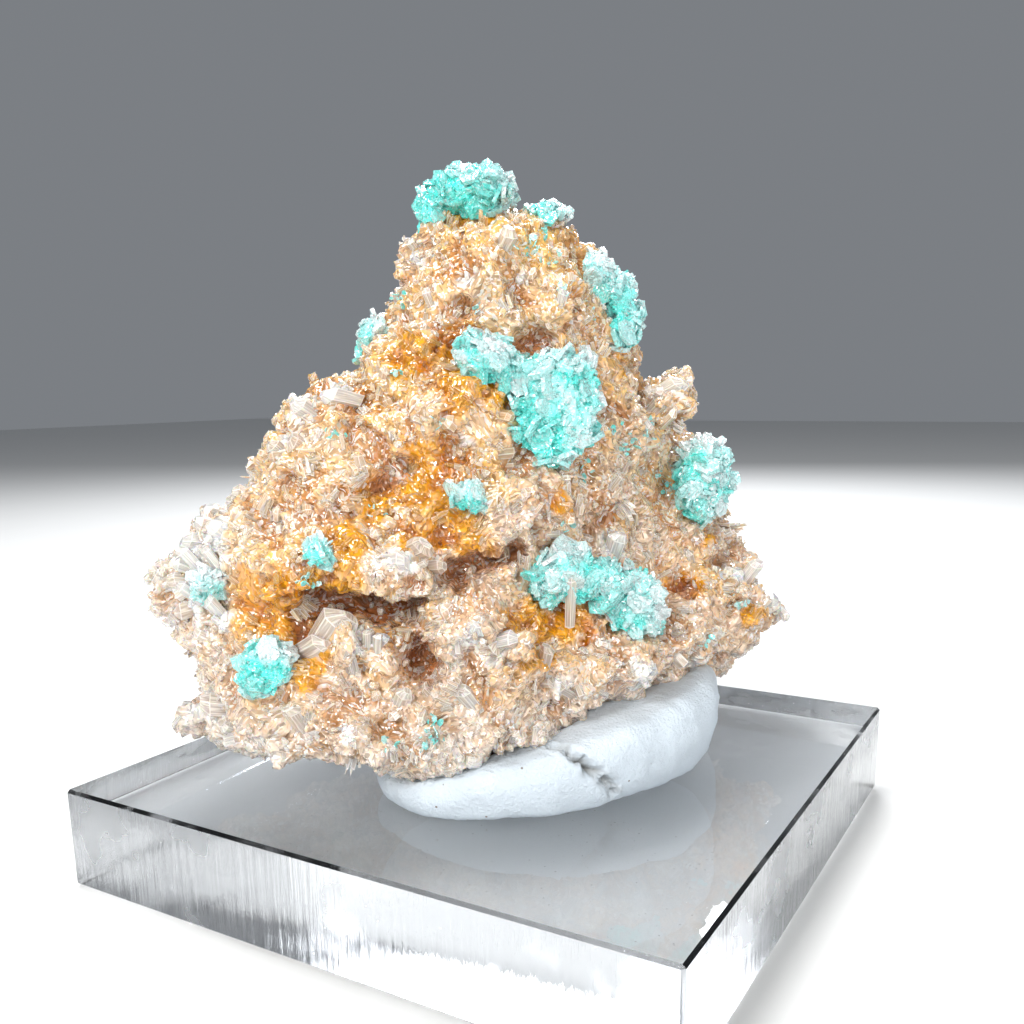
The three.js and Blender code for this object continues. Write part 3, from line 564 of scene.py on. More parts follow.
def cell_map(mesh, sizes):
    """Two UV maps. OFBake has a square cell of its own for every face: face i sits in cell i of a
    square grid, its corners spread round the cell on a circle. In face, every face's corners are on
    the same circle of radius 1.41, so that a four-cornered face runs from -1 to 1 both ways."""
    cell_radius = 0.46
    count = len(sizes)
    side = math.ceil(math.sqrt(count))
    starts = np.cumsum(sizes) - sizes
    owner = np.repeat(np.arange(count), sizes)
    corner = np.arange(len(owner)) - starts[owner]
    angle = (corner + 0.5) / sizes[owner] * FULL_TURN
    circle = np.stack([np.cos(angle), np.sin(angle)], 1)
    cell = np.stack([owner % side, owner // side], 1)
    in_cell = (cell + 0.5 + cell_radius * circle) / side
    for name, places in (("OFBake", in_cell), ("face", math.sqrt(2) * circle)):
        layer = mesh.uv_layers.new(name=name)
        layer.data.foreach_set("uv", places.ravel().astype(np.float32))


def new_piece(name, made, smooth, marks, finishes, replaced=()):
    """Makes an object from its vertices in millimetres, the faces' corners one after another and each
    face's number of corners, with float attributes for its materials to read."""
    verts, loops, sizes = made
    sizes = np.asarray(sizes, dtype=np.int32)
    mesh = bpy.data.meshes.new(name)
    mesh.vertices.add(len(verts))
    mesh.vertices.foreach_set("co", (verts * MM).astype(np.float32).ravel())
    mesh.loops.add(len(loops))
    mesh.loops.foreach_set("vertex_index", np.asarray(loops, dtype=np.int32))
    mesh.polygons.add(len(sizes))
    mesh.polygons.foreach_set("loop_start", (np.cumsum(sizes) - sizes).astype(np.int32))
    mesh.polygons.foreach_set("use_smooth", np.full(len(sizes), smooth))
    mesh.update(calc_edges=True)
    if mesh.validate():
        raise RuntimeError(name + " has faces that had to be repaired")
    for mark, values in marks.items():
        layer = mesh.attributes.new(mark, "FLOAT", "POINT")
        layer.data.foreach_set("value", values.astype(np.float32))
    cell_map(mesh, sizes)
    for finish in finishes:
        mesh.materials.append(finish)
    piece = bpy.data.objects.new(name, mesh)
    bpy.context.scene.collection.objects.link(piece)
    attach(piece, "root")
    if replaced:
        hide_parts(*replaced)
    return piece


def spread(verts, quads, count, rng):
    """Random points spread evenly over a surface of four-cornered faces, with the faces' normals, and
    the surface's area."""
    a, b, c, d = (verts[quads[:, i]] for i in range(4))
    cross = np.cross(c - a, d - b)
    area = np.linalg.norm(cross, axis=1) * 0.5
    face = rng.choice(len(quads), size=count, p=area / area.sum())
    s, t = rng.random((2, count, 1))
    lower = a[face] * (1 - s) + b[face] * s
    upper = d[face] * (1 - s) + c[face] * s
    return lower * (1 - t) + upper * t, unit(cross[face]), area.sum()


def across_of(along, rng):
    """A random unit vector at right angles to each of the given ones."""
    return unit(np.cross(along, rng.normal(size=along.shape)))


def ring_at(points, ways, shares):
    """Corners of one ring of each body: its point plus its three ways, each times the corner's share."""
    ring = points[:, None]
    for way, share in zip(ways, shares):
        ring = ring + way[:, None] * share[..., None]
    return ring


def six_sided(rings):
    """Closed bodies from two or more rings of six corners each: a cap at each end and walls between
    the rings. Returns a mesh and how many vertices each body has."""
    count, levels, corners = len(rings[0]), len(rings), 6 * len(rings)
    base = np.arange(count)[:, None] * corners
    caps = np.concatenate([base + np.arange(5, -1, -1), base + np.arange(corners - 6, corners)], axis=1)
    k = np.arange(6)
    wall = np.stack([k, (k + 1) % 6, (k + 1) % 6 + 6, k + 6], 1)
    walls = base[:, :, None] + np.concatenate([wall + 6 * level for level in range(levels - 1)])[None]
    sizes = np.concatenate([np.full(2 * count, 6), np.full((levels - 1) * 6 * count, 4)])
    verts = np.concatenate(rings, axis=1).reshape(-1, 3)
    return (verts, np.concatenate([caps.reshape(-1), walls.reshape(-1)]), sizes), corners


def blades(points, along, across, length, width, thick, rng):
    """Six-faced blades, one for each point: a skewed four-cornered section, run along the blade from
    a third of its length below the point, narrowing towards an end that is cut off on a slant.

    Corner k of a ring is point + along * z + across * x + third * y, for whole arrays at once."""
    count = len(points)
    ways = along, across, unit(np.cross(along, across))
    corner_x = np.array([-0.62, 0.38, 0.62, -0.38])
    corner_y = np.array([-0.5, -0.5, 0.5, 0.5])
    narrow_x = rng.uniform(0.15, 0.85, count)[:, None]
    narrow_y = rng.uniform(0.35, 0.95, count)[:, None]
    slant = rng.uniform(-0.3, 0.3, count)[:, None]
    foot, end = np.full((count, 4), -0.33), 0.67 + slant * corner_x
    rings = []
    for level, size_x, size_y in ((foot, 1.0, 1.0), (end, narrow_x, narrow_y)):
        x, y = corner_x * size_x * width[:, None], corner_y * size_y * thick[:, None]
        rings.append(ring_at(points, ways, (level * length[:, None], x, y)))
    verts = np.concatenate(rings, axis=1).reshape(-1, 3)
    box = np.array([[3, 2, 1, 0], [4, 5, 6, 7], [0, 1, 5, 4], [1, 2, 6, 5], [2, 3, 7, 6], [3, 0, 4, 7]])
    quads = (np.arange(count)[:, None, None] * 8 + box).reshape(-1, 4)
    return four_cornered(verts, quads), 8


def uneven_angles(count, unevenness, rng):
    """The angles of six corners, 60 degrees apart from a random start, and how far out each is."""
    turn = rng.uniform(0, math.pi, count)[:, None]
    return np.arange(6) * (math.pi / 3) + turn, 1 + rng.uniform(-unevenness, unevenness, (count, 6))


def prisms(points, along, across, length, width, thick, rng):
    """Six-sided crystals, one for each point: three rings of six corners round `along`, from 0.45 of
    the length below the point to 0.55 above it, the last one smaller and set aside, so that the end is
    chiselled. The corners lie on an oval as wide as `width` and as deep as `thick`."""
    count = len(points)
    ways = along, across, unit(np.cross(along, across))
    angle, out = uneven_angles(count, 0.22, rng)
    x = np.cos(angle) * (0.5 * out) * width[:, None]
    y = np.sin(angle) * (0.5 * out) * thick[:, None]
    tip = rng.uniform(0.3, 0.75, count)[:, None]
    aside_x, aside_y = rng.uniform(-0.2, 0.2, (2, count, 1)) * np.stack([width, thick])[..., None]
    slant = rng.uniform(-0.35, 0.35, count)[:, None]
    foot, end = -0.45 * length, 0.55 * length
    shoulder = end - np.minimum(0.32 * width, 0.3 * length)
    rings = []
    for level, size, shift in ((foot, 0.85, 0.0), (shoulder, 1.0, 0.0), (end, tip, 1.0)):
        shares = level[:, None] + slant * x * size, x * size + shift * aside_x, y * size + shift * aside_y
        rings.append(ring_at(points, ways, shares))
    return six_sided(rings)


def plates(points, along, across, radius, thick, rng):
    """Thin six-sided plates: two stretched hexagons a thickness apart, in the plane of `along` and
    `across`, `along` being the way a plate stands out."""
    longer, narrower = 1.15, 0.85
    angle, out = uneven_angles(len(points), 0.14, rng)
    shares = np.cos(angle) * out * radius[:, None] * longer, np.sin(angle) * out * radius[:, None] * narrower
    middle = ring_at(points, (along, across), shares)
    half = unit(np.cross(along, across))[:, None] * (thick[:, None, None] * 0.5)
    return six_sided([middle - half, middle + half])


def add_node(tree, kind, inputs=None, **fields):
    """A shader node; each input is another node's output or a value, a colour having three parts."""
    node = tree.nodes.new(kind)
    for field, value in fields.items():
        setattr(node, field, value)
    for key, value in (inputs or {}).items():
        socket = node.inputs[key]
        if isinstance(value, bpy.types.NodeSocket):
            tree.links.new(value, socket)
        elif isinstance(value, tuple) and len(value) == 3 and socket.type == "RGBA":
            socket.default_value = (*value, 1.0)
        else:
            socket.default_value = value
    return node


def maths(tree, operation, *values):
    return add_node(tree, "ShaderNodeMath", dict(enumerate(values)), operation=operation).outputs[0]


def vector_maths(tree, operation, first, second=None):
    """A Vector Math node. SCALE takes a number as its second value, and NORMALIZE has none."""
    inputs = {0: first}
    if second is not None:
        inputs["Scale" if operation == "SCALE" else 1] = second
    node = add_node(tree, "ShaderNodeVectorMath", inputs, operation=operation)
    return node.outputs["Value" if operation == "DOT_PRODUCT" else "Vector"]


def noise(tree, point, scale, detail, **more):
    """Noise from 0 to 1, and its colour."""
    inputs = {"Vector": point, "Scale": scale, "Detail": detail, **more}
    outputs = add_node(tree, "ShaderNodeTexNoise", inputs).outputs
    return outputs[0], outputs["Color"]


def cell_noise(tree, point, scale):
    """The distance to the nearest cell's middle, and the cell's random colour."""
    outputs = add_node(tree, "ShaderNodeTexVoronoi", {"Vector": point, "Scale": scale}).outputs
    return outputs["Distance"], outputs["Color"]


def blend_colour(tree, amount, first, second, how="MIX"):
    inputs = {0: amount, 6: first, 7: second}
    return add_node(tree, "ShaderNodeMix", inputs, data_type="RGBA", blend_type=how).outputs[2]


def span(tree, value, low, high, to_low, to_high):
    """The value's place between low and high, moved to the same place between the other two."""
    ends = {"From Min": low, "From Max": high, "To Min": to_low, "To Max": to_high}
    return add_node(tree, "ShaderNodeMapRange", {"Value": value, **ends}).outputs["Result"]


def toned(tree, value, colour):
    return add_node(tree, "ShaderNodeHueSaturation", {"Value": value, "Color": colour}).outputs[0]


def bumps(tree, height, strength, distance):
    """The normal of a surface with bumps of up to `distance` millimetres."""
    inputs = {"Height": height, "Strength": strength, "Distance": distance * MM}
    return add_node(tree, "ShaderNodeBump", inputs).outputs[0]


def new_material(name, **sockets):
    material = bpy.data.materials.new(name)
    material.use_nodes = True
    tree = material.node_tree
    shader = tree.nodes["Principled BSDF"]
    for key, value in sockets.items():
        shader.inputs[key.replace("_", " ")].default_value = value
    return material, tree, shader


def feed(tree, shader, **sources):
    """Links outputs to the shader's sockets. A Normal also goes to the coat."""
    if "Normal" in sources and shader.inputs["Coat Weight"].default_value > 0:
        sources["Coat_Normal"] = sources["Normal"]
    for key, source in sources.items():
        tree.links.new(source, shader.inputs[key.replace("_", " ")])


def mark_value(tree, name):
    return add_node(tree, "ShaderNodeAttribute", attribute_name=name).outputs["Fac"]


def object_point(tree):
    """Object coordinates in millimetres."""
    place = add_node(tree, "ShaderNodeTexCoord").outputs["Object"]
    return vector_maths(tree, "SCALE", place, 1 / MM)


def glow(shader, weight, depth, reach=(1.0, 0.6, 0.28)):
    """Lets light sink into the crystals, red, green and blue by different depths: gypsum's comes out
    warmer, as it does in the stained crystal mass."""
    shader.inputs["Subsurface Weight"].default_value = weight
    shader.inputs["Subsurface Radius"].default_value = reach
    shader.inputs["Subsurface Scale"].default_value = depth * MM


def polish(shader):
    """A crystal's bright polished faces."""
    shader.inputs["Coat Weight"].default_value = 1.0
    shader.inputs["Coat Roughness"].default_value = 0.04
    shader.inputs["Coat IOR"].default_value = 1.75


def gypsum_colour(tree, rock):
    """Beige to amber to vivid amber, then rust in the hollows and clear at the tips, by the marks, and
    all of it darker down between the crystals by painted shade, by the mark deep."""
    shade_tint = (0.66, 0.43, 0.23)
    colour = tuple(rock.beige)
    for mark in ("amber", "vivid", "rust", "clear"):
        colour = blend_colour(tree, mark_value(tree, mark), colour, tuple(getattr(rock, mark)))
    # painted shade: the colour darkened by this tint where the mark deep is high
    painted_shade = blend_colour(tree, 1.0, colour, shade_tint, "MULTIPLY")
    return blend_colour(tree, mark_value(tree, "deep"), colour, painted_shade)


def crystal_streaks(tree, bundle, width, slim):
    """Random colours in long thin cells, the cells of each bundle lying along one random way.

    The point's share along the bundle's way is shortened to `slim` of itself before the cells are
    drawn, so that they come out 1 / slim times as long as wide."""
    bend_scale, bend_by = 0.7, 1.1
    point = object_point(tree)
    bent = noise(tree, point, bend_scale, 1.0)[1]
    curved = vector_maths(tree, "ADD", point, vector_maths(tree, "SCALE", bent, bend_by))
    region = cell_noise(tree, curved, 1 / bundle)[1]
    way = vector_maths(tree, "NORMALIZE", vector_maths(tree, "SUBTRACT", region, (0.5, 0.5, 0.5)))
    share = vector_maths(tree, "DOT_PRODUCT", curved, way)
    along = vector_maths(tree, "SCALE", way, maths(tree, "MULTIPLY", share, 1 - slim))
    pressed = vector_maths(tree, "SUBTRACT", curved, along)
    return cell_noise(tree, pressed, 1 / width)[1]


def streak_tones_and_glints(tree, streaks, colour, strength, pale, darkest=0.6):
    """The colour with a tone of its own in each streak, and painted glints: pale streaks gathered in
    patches.
    """
    brightest, patch_scale = 1.25, 0.45
    few, many = 0.97, 0.58
    parts = add_node(tree, "ShaderNodeSeparateColor", {0: streaks}).outputs
    tone = span(tree, parts[0], 0, 1, darkest, brightest)
    shade = toned(tree, tone, colour)
    # painted glints: pale streaks, gathered in patches by noise
    patch = noise(tree, object_point(tree), patch_scale, 2.0)[0]
    limit = span(tree, patch, 0.3, 0.7, few, many)
    line = span(tree, maths(tree, "SUBTRACT", parts[1], limit), 0.0, 0.1, 0, 1)
    return blend_colour(tree, maths(tree, "MULTIPLY", line, strength), shade, pale)


def tilted_normal(tree, streaks, tilt):
    """The surface's normal tilted at random in each streak, so that it glints like tiny crystals."""
    push = vector_maths(tree, "SCALE", vector_maths(tree, "SUBTRACT", streaks, (0.5, 0.5, 0.5)), tilt)
    normal = add_node(tree, "ShaderNodeNewGeometry").outputs["Normal"]
    return vector_maths(tree, "NORMALIZE", vector_maths(tree, "ADD", push, normal))


def crust_material(rock):
    """The crust: stained glassy gypsum of small facets, with painted glints as pale streaks on them and
    painted shade down between them.
    """
    material, tree, shader = new_material("gypsum_crust", Roughness=0.1, IOR=GYPSUM_IOR)
    glow(shader, 0.6, 1.0)
    polish(shader)
    streaks = crystal_streaks(tree, 2.4, 0.26, 0.17)
    # painted glints: pale streaks, few of them in the vivid amber
    strength = span(tree, mark_value(tree, "vivid"), 0, 1, 0.8, 0.06)
    colour = streak_tones_and_glints(tree, streaks, gypsum_colour(tree, rock), strength, (1.0, 0.94, 0.87))
    feed(tree, shader, Base_Color=colour, Normal=tilted_normal(tree, streaks, 1.1))
    return material


def crystal_material(name, rock, transmission, paleness, fineness, edge):
    """Gypsum crystals: partly see-through, tinted by what stains them, each with its own tone, with
    lines along it, finer with `fineness`, the brightest lines painted highlights, and edges painted
    bright as highlights, `edge` of a face's half width wide."""
    pale, line_glint_colour, edge_glint_colour = (0.96, 0.93, 0.89), (1.0, 0.96, 0.9), (1.0, 0.97, 0.93)
    stretch, far_apart = 0.5, 97.0
    material, tree, shader = new_material(name, Roughness=0.08, IOR=GYPSUM_IOR)
    glow(shader, 0.5, 0.8)
    polish(shader)
    tone, vivid = mark_value(tree, "tone"), mark_value(tree, "vivid")
    amount = maths(tree, "MULTIPLY", tone, span(tree, vivid, 0, 1, paleness, 0.03))
    colour = blend_colour(tree, amount, gypsum_colour(tree, rock), pale)
    face = add_node(tree, "ShaderNodeUVMap", uv_map="face").outputs[0]
    own = add_node(tree, "ShaderNodeSeparateXYZ", {0: face}).outputs
    # painted highlights along the edges of each face
    side_glint = span(tree, maths(tree, "ABSOLUTE", own[0]), 1 - edge, 1 - 0.4 * edge, 0, 0.85)
    end_glint = span(tree, maths(tree, "ABSOLUTE", own[1]), 1 - 0.5 * edge, 1 - 0.2 * edge, 0, 0.85)
    rim = maths(tree, "MAXIMUM", side_glint, end_glint)
    across, up = maths(tree, "MULTIPLY", own[0], fineness), maths(tree, "MULTIPLY", own[1], stretch)
    shift = maths(tree, "MULTIPLY", tone, far_apart)
    place = add_node(tree, "ShaderNodeCombineXYZ", {0: across, 1: up, 2: shift}).outputs[0]
    lines = noise(tree, place, 1.0, 3.0)[0]
    shade = toned(tree, span(tree, lines, 0.3, 0.6, 0.7, 1.1), colour)
    # painted highlights: the brightest lines blended towards white; these and the edges are less see-through
    line_glints = span(tree, lines, 0.52, 0.66, 0, 0.5)
    shade = blend_colour(tree, line_glints, shade, line_glint_colour)
    edge_glint_share = maths(tree, "MULTIPLY", rim, span(tree, vivid, 0, 1, 0.7, 0.12))
    shade = blend_colour(tree, edge_glint_share, shade, edge_glint_colour)
    glint_cover = maths(tree, "MAXIMUM", line_glints, rim)
    see_through = span(tree, glint_cover, 0, 0.8, transmission, 0.4 * transmission)
    normal = bumps(tree, lines, 0.6, 0.12)
    feed(tree, shader, Base_Color=shade, Transmission_Weight=see_through, Normal=normal)
    return material


def devilline_material(name, settings, transmission):
    """Teal at the heart, aqua further out and nearly clear at the rims, by the mark `rim`, with painted
    glints as pale streaks, more of them at the rims.
    """
    material, tree, shader = new_material(
        name, Roughness=0.18, IOR=DEVILLINE_IOR, Transmission_Weight=transmission
    )
    glow(shader, 0.35, 0.7, (0.45, 1.0, 0.95))
    polish(shader)
    rim = mark_value(tree, "rim")
    inner = blend_colour(tree, span(tree, rim, 0.0, 0.5, 0, 1), tuple(settings.teal), tuple(settings.aqua))
    colour = blend_colour(tree, span(tree, rim, 0.5, 1.0, 0, 1), inner, tuple(settings.rim))
    streaks = crystal_streaks(tree, 1.4, 0.15, 0.4)
    # painted glints: pale streaks, more of them towards the clear rims
    strength = span(tree, rim, 0.0, 0.8, 0.4, 0.85)
    colour = streak_tones_and_glints(tree, streaks, colour, strength, (0.92, 1.0, 1.0), 0.8)
    feed(tree, shader, Base_Color=colour, Normal=tilted_normal(tree, streaks, 0.9))
    return material


def putty_material(putty):
    """Matt white putty with a fine grain, faint grey smudges, dark specks and grey painted shade in the
    crack.
    """
    smudge, speck_colour, crack_shade_colour = 0.93, (0.28, 0.24, 0.22), (0.42, 0.42, 0.4)
    material, tree, shader = new_material("white_putty", Roughness=0.62)
    point = object_point(tree)
    white = tuple(putty.white)
    smudges = span(tree, noise(tree, point, 0.22, 4.0)[0], 0.35, 0.75, 0, 1)
    colour = blend_colour(tree, smudges, white, tuple(smudge * part for part in white))
    speck = span(tree, cell_noise(tree, point, 0.33)[0], 0.03, 0.055, 1, 0)
    colour = blend_colour(tree, speck, colour, speck_colour)
    # painted shade: grey down the crack
    colour = blend_colour(tree, mark_value(tree, "crack"), colour, crack_shade_colour)
    grain = noise(tree, point, 2.6, 6.0, Roughness=0.65)[0]
    feed(tree, shader, Base_Color=colour, Normal=bumps(tree, grain, 1.0, 0.4))
    return material


def slab_material(slab):
    """Clear acrylic: polished faces, saw marks polished over on the sides, dust grains on the top."""
    dust_colour, polished, along_cut = (0.85, 0.85, 0.84), 0.012, (1.1, 1.1, 0.06)
    material, tree, shader = new_material(
        "clear_acrylic", Roughness=0.02, IOR=ACRYLIC_IOR, Transmission_Weight=1.0
    )
    point = object_point(tree)
    normal = add_node(tree, "ShaderNodeNewGeometry").outputs["Normal"]
    up = maths(tree, "ABSOLUTE", add_node(tree, "ShaderNodeSeparateXYZ", {0: normal}).outputs[2])
    side = span(tree, up, 0.2, 0.9, 1, 0)
    speck = span(tree, cell_noise(tree, point, 0.75)[0], 0.035, 0.075, 1, 0)
    patch = span(tree, noise(tree, point, 0.09, 2.0)[0], 0.42, 0.62, 0, 0.9)
    dusty = maths(tree, "MULTIPLY", speck, patch)
    haze = span(tree, noise(tree, point, 0.12, 3.0)[0], 0.45, 0.6, 0.02, 0.32)
    rough = maths(tree, "ADD", maths(tree, "MULTIPLY", side, haze), polished)
    stretched = add_node(tree, "ShaderNodeMapping", {"Vector": point, "Scale": along_cut}).outputs[0]
    marks = noise(tree, stretched, 1.0, 5.0, Roughness=0.6)[0]
    strength = maths(tree, "MULTIPLY", side, 0.35)
    normal = bumps(tree, marks, strength, 0.4)
    colour = blend_colour(tree, dusty, tuple(slab.tint), dust_colour)
    clearness = maths(tree, "SUBTRACT", 1.0, dusty)
    feed(tree, shader, Base_Color=colour, Transmission_Weight=clearness, Roughness=rough, Normal=normal)
    return material


# The crust's vertices and faces, kept for the pieces that grow on it.
crust = {}


class SPECIMEN_OT_rock_crust(Operator):
    """Covers the rock with its fine crust: the rock's surface on a small grid, moved along its normal
    by waves, tilted facets and seams, then sunk in at the hollows and lifted at the left foot"""

    bl_idname = "specimen.rock_crust"
    bl_label = "Rock crust"

    def execute(self, context):
        rock = context.scene.specimen_rock
        verts, quads, normals = fine_surface(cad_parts["gypsum_matrix"], rock.voxel, EASING.rock)
        height = relief(verts, CRUST_WAVES, CRUST_FACETS)
        height -= SEAM.depth * bell(waves(verts, SEAM.size, SEAM.seed), SEAM.width)
        verts = verts + normals * (height * (rock.relief / MM))[:, None]
        face = face_turn(verts, -FACE_TURN)
        marks = stain_marks(face)
        # painted shade: the colour darkens where the relief sinks, down between the crystals
        marks["deep"] = smooth_step(-height, *PAINTED_SHADE_DEPTHS)
        face[:, 1] -= np.sign(face[:, 1]) * HOLLOW_PUSH * hollow_share(face)[1]
        foot = bell(face[:, 0] - FOOT.x, FOOT.reach) * smooth_step(-face[:, 2], *FOOT.below)
        face[:, 2] += FOOT.lift * foot * smooth_step(-face[:, 1], *FOOT.front)
        verts = face_turn(face, FACE_TURN)
        made = four_cornered(verts, quads)
        new_piece("rock_crust", made, True, marks, [crust_material(rock)], ["gypsum_matrix"])
        crust["verts"], crust["quads"] = verts, quads
        return {"FINISHED"}


def seats(count, rng, kind):
    """Places and ways of crystals on the crust: the way lies along a smooth direction field, so that
    neighbours agree, turned at random a little and lifted off the surface. Few are left in the
    hollows, and none just above the slab or on faces that look down."""
    points, normals, _area = spread(crust["verts"], crust["quads"], count, rng)
    marks = stain_marks(face_turn(points, -FACE_TURN))
    keep = (marks["rust"] < 0.5) | (rng.random(count) < SEAT.in_hollows)
    keep &= points[:, 2] > SLAB_TOP + SEAT.above_slab
    keep &= normals[:, 2] > SEAT.facing_down
    points, normals = points[keep], normals[keep]
    marks = {key: value[keep] for key, value in marks.items()}
    field = wander(points, kind.field, SEEDS.ways, terms=10)
    field += kind.scatter * rng.normal(size=field.shape)
    flat = unit(field - normals * (field * normals).sum(1)[:, None])
    lift = np.radians(rng.uniform(*kind.lift, len(points)))[:, None]
    along = unit(flat * np.cos(lift) + normals * np.sin(lift))
    return points, normals, along, marks


def growth(points, kind, seed):
    """How large crystals grow at each point, for their kind's usual share, swing and size of swing."""
    usual, swing, size = kind.growth
    return usual + swing * np.clip(waves(points, size, seed), -0.6, 1)


def crystal_piece(name, grown, marks, finish):
    """A piece of what blades or prisms return, with marks of one value for each crystal."""
    made, corners = grown
    marks = {key: np.repeat(value, corners) for key, value in marks.items()}
    new_piece(name, made, False, marks, [finish])


class SPECIMEN_OT_rock_blades(Operator):
    """Grows bundles of parallel gypsum blades on the crust, as joined meshes"""

    bl_idname = "specimen.rock_blades"
    bl_label = "Gypsum blades"

    def execute(self, context):
        rock = context.scene.specimen_rock
        finish = crystal_material("gypsum_blades", rock, **BLADES.look)
        for part in range(BLADES.pieces):
            rng = np.random.default_rng(SEEDS.blades + part)
            points, normals, along, marks = seats(rock.sheaves // BLADES.pieces, rng, BLADES)
            count = len(points)
            each = count, BLADES.sheaf
            size = growth(points, BLADES, SEEDS.blade_growth) * rng.lognormal(0, BLADES.spread, count)
            side = unit(np.cross(normals, along))
            place = rng.uniform(-1, 1, each)
            offset = place * (size * rng.uniform(*BLADES.half, count))[:, None]
            fan = rng.uniform(*BLADES.fan, count)[:, None]
            ways = along[:, None] + side[:, None] * (place * fan)[..., None]
            ways = unit((ways + BLADES.waver * rng.normal(size=ways.shape)).reshape(-1, 3))
            back = rng.uniform(*BLADES.back, each)
            rise = rng.uniform(*BLADES.rise, each)
            spots = ring_at(points, (side, along, normals), (offset, back, rise)).reshape(-1, 3)
            taper = BLADES.longest - BLADES.shorter * place**2
            length = (rock.length / MM * size[:, None] * taper * rng.uniform(*BLADES.length, each)).ravel()
            width = (rock.width / MM * size[:, None] * rng.uniform(*BLADES.width, each)).ravel()
            across = unit(np.repeat(side, BLADES.sheaf, axis=0) + BLADES.roll * rng.normal(size=ways.shape))
            across = unit(across - ways * (across * ways).sum(1)[:, None])
            thick = width * rng.uniform(*BLADES.thick, len(width))
            grown = blades(spots, ways, across, length, width, thick, rng)
            marks = {key: np.repeat(value, BLADES.sheaf) for key, value in marks.items()}
            tone = np.repeat(rng.beta(*BLADES.tone, count), BLADES.sheaf)
            marks["tone"] = np.clip(tone + rng.uniform(*BLADES.own_tone, len(width)), 0, 1)
            crystal_piece("gypsum_blades_" + "ab"[part], grown, marks, finish)
        return {"FINISHED"}


class SPECIMEN_OT_rock_grains(Operator):
    """Grows stubby clear gypsum crystals on the crust, as joined meshes"""

    bl_idname = "specimen.rock_grains"
    bl_label = "Gypsum grains"

    def execute(self, context):
        rock = context.scene.specimen_rock
        finish = crystal_material("gypsum_grains", rock, **GRAINS.look)
        for part in range(GRAINS.pieces):
            rng = np.random.default_rng(SEEDS.grains + part)
            points, normals, along, marks = seats(rock.grains // GRAINS.pieces, rng, GRAINS)
            count = len(points)
            size = growth(points, GRAINS, SEEDS.grain_growth) * (1 + GRAINS.larger * marks["clear"])
            width = rock.grain / MM * size * rng.lognormal(0, GRAINS.spread, count)
            marks["tone"] = np.clip(rng.beta(*GRAINS.tone, count) + GRAINS.paler * marks["clear"], 0, 1)
            length = width * rng.uniform(*GRAINS.length, count)
            thick = width * rng.uniform(*GRAINS.thick, count)
            spots = points - normals * (GRAINS.sunk * width)[:, None]
            grown = prisms(spots, along, across_of(along, rng), length, width, thick, rng)
            crystal_piece("gypsum_grains_" + "abc"[part], grown, marks, finish)
        return {"FINISHED"}


class SPECIMEN_OT_clear_crystals(Operator):
    """Sets the larger clear gypsum crystals in the crust: those with places of their own, and many
    more scattered over it, most of them where the gypsum is clear"""

    bl_idname = "specimen.clear_crystals"
    bl_label = "Clear crystals"

    def execute(self, context):
        rock = context.scene.specimen_rock
        kind = CLEAR_CRYSTALS
        rng = np.random.default_rng(SEEDS.crystals)
        places = np.array(CRYSTALS)
        lean, out = np.radians(places[:, 3]), np.radians(places[:, 4])
        along = np.stack([np.sin(lean) * np.cos(out), -np.sin(out), np.cos(lean) * np.cos(out)], 1)
        across = unit(np.cross(along, (0.0, 1.0, 0.3)))
        placed = stain_marks(places[:, :3])
        placed["clear"] = np.maximum(placed["clear"], kind.placed_clear)
        placed["vivid"] *= kind.placed_vivid
        placed["rust"] *= kind.placed_rust

        points, normals, way, marks = seats(rock.crystals, rng, kind)
        wanted = rng.random(len(points)) < kind.kept + kind.kept_more * marks["clear"]
        points, normals, way = points[wanted], normals[wanted], way[wanted]
        count = len(points)
        width = kind.least + kind.range * rng.beta(*kind.width, count)
        length = np.concatenate([places[:, 5], width * rng.uniform(*kind.length, count)])
        thick = np.concatenate([places[:, 7], width * rng.uniform(*kind.thick, count)])
        sunk = points - normals * (kind.sunk * width)[:, None]
        spots = np.concatenate([face_turn(places[:, :3], FACE_TURN), sunk])
        ways = np.concatenate([face_turn(along, FACE_TURN), way])
        acrosses = np.concatenate([face_turn(across, FACE_TURN), across_of(way, rng)])
        widths = np.concatenate([places[:, 6], width])
        marks = {key: np.concatenate([placed[key], value[wanted]]) for key, value in marks.items()}
        marks["tone"] = np.clip(rng.beta(*kind.tone, len(spots)) + kind.paler * marks["clear"], 0, 1)
        grown = prisms(spots, ways, acrosses, length, widths, thick, rng)
        finish = crystal_material("gypsum_clear", rock, **kind.look)
        crystal_piece("gypsum_clear_crystals", grown, marks, finish)
        return {"FINISHED"}


def cluster_rim(points, verts, clearness):
    """How clear a cluster is, 0 to 1: more towards its edge and its upper right, and in patches."""
    middle = verts.mean(0)
    away = face_turn(points - middle, -FACE_TURN)
    reach = np.percentile(np.linalg.norm(verts - middle, axis=1), 95)
    upper_right = (0.5 * away[:, 0] + 0.6 * away[:, 2]) / reach
    edge = smooth_step(np.linalg.norm(away[:, [0, 2]], axis=1) / reach, 0.45, 1.0)
    patches = waves(points, RIM.patch_size, SEEDS.rim)
    clear = RIM.usual + clearness + RIM.edge * edge + RIM.upper_right * upper_right + RIM.patches * patches
    return np.clip(clear, 0, 1)


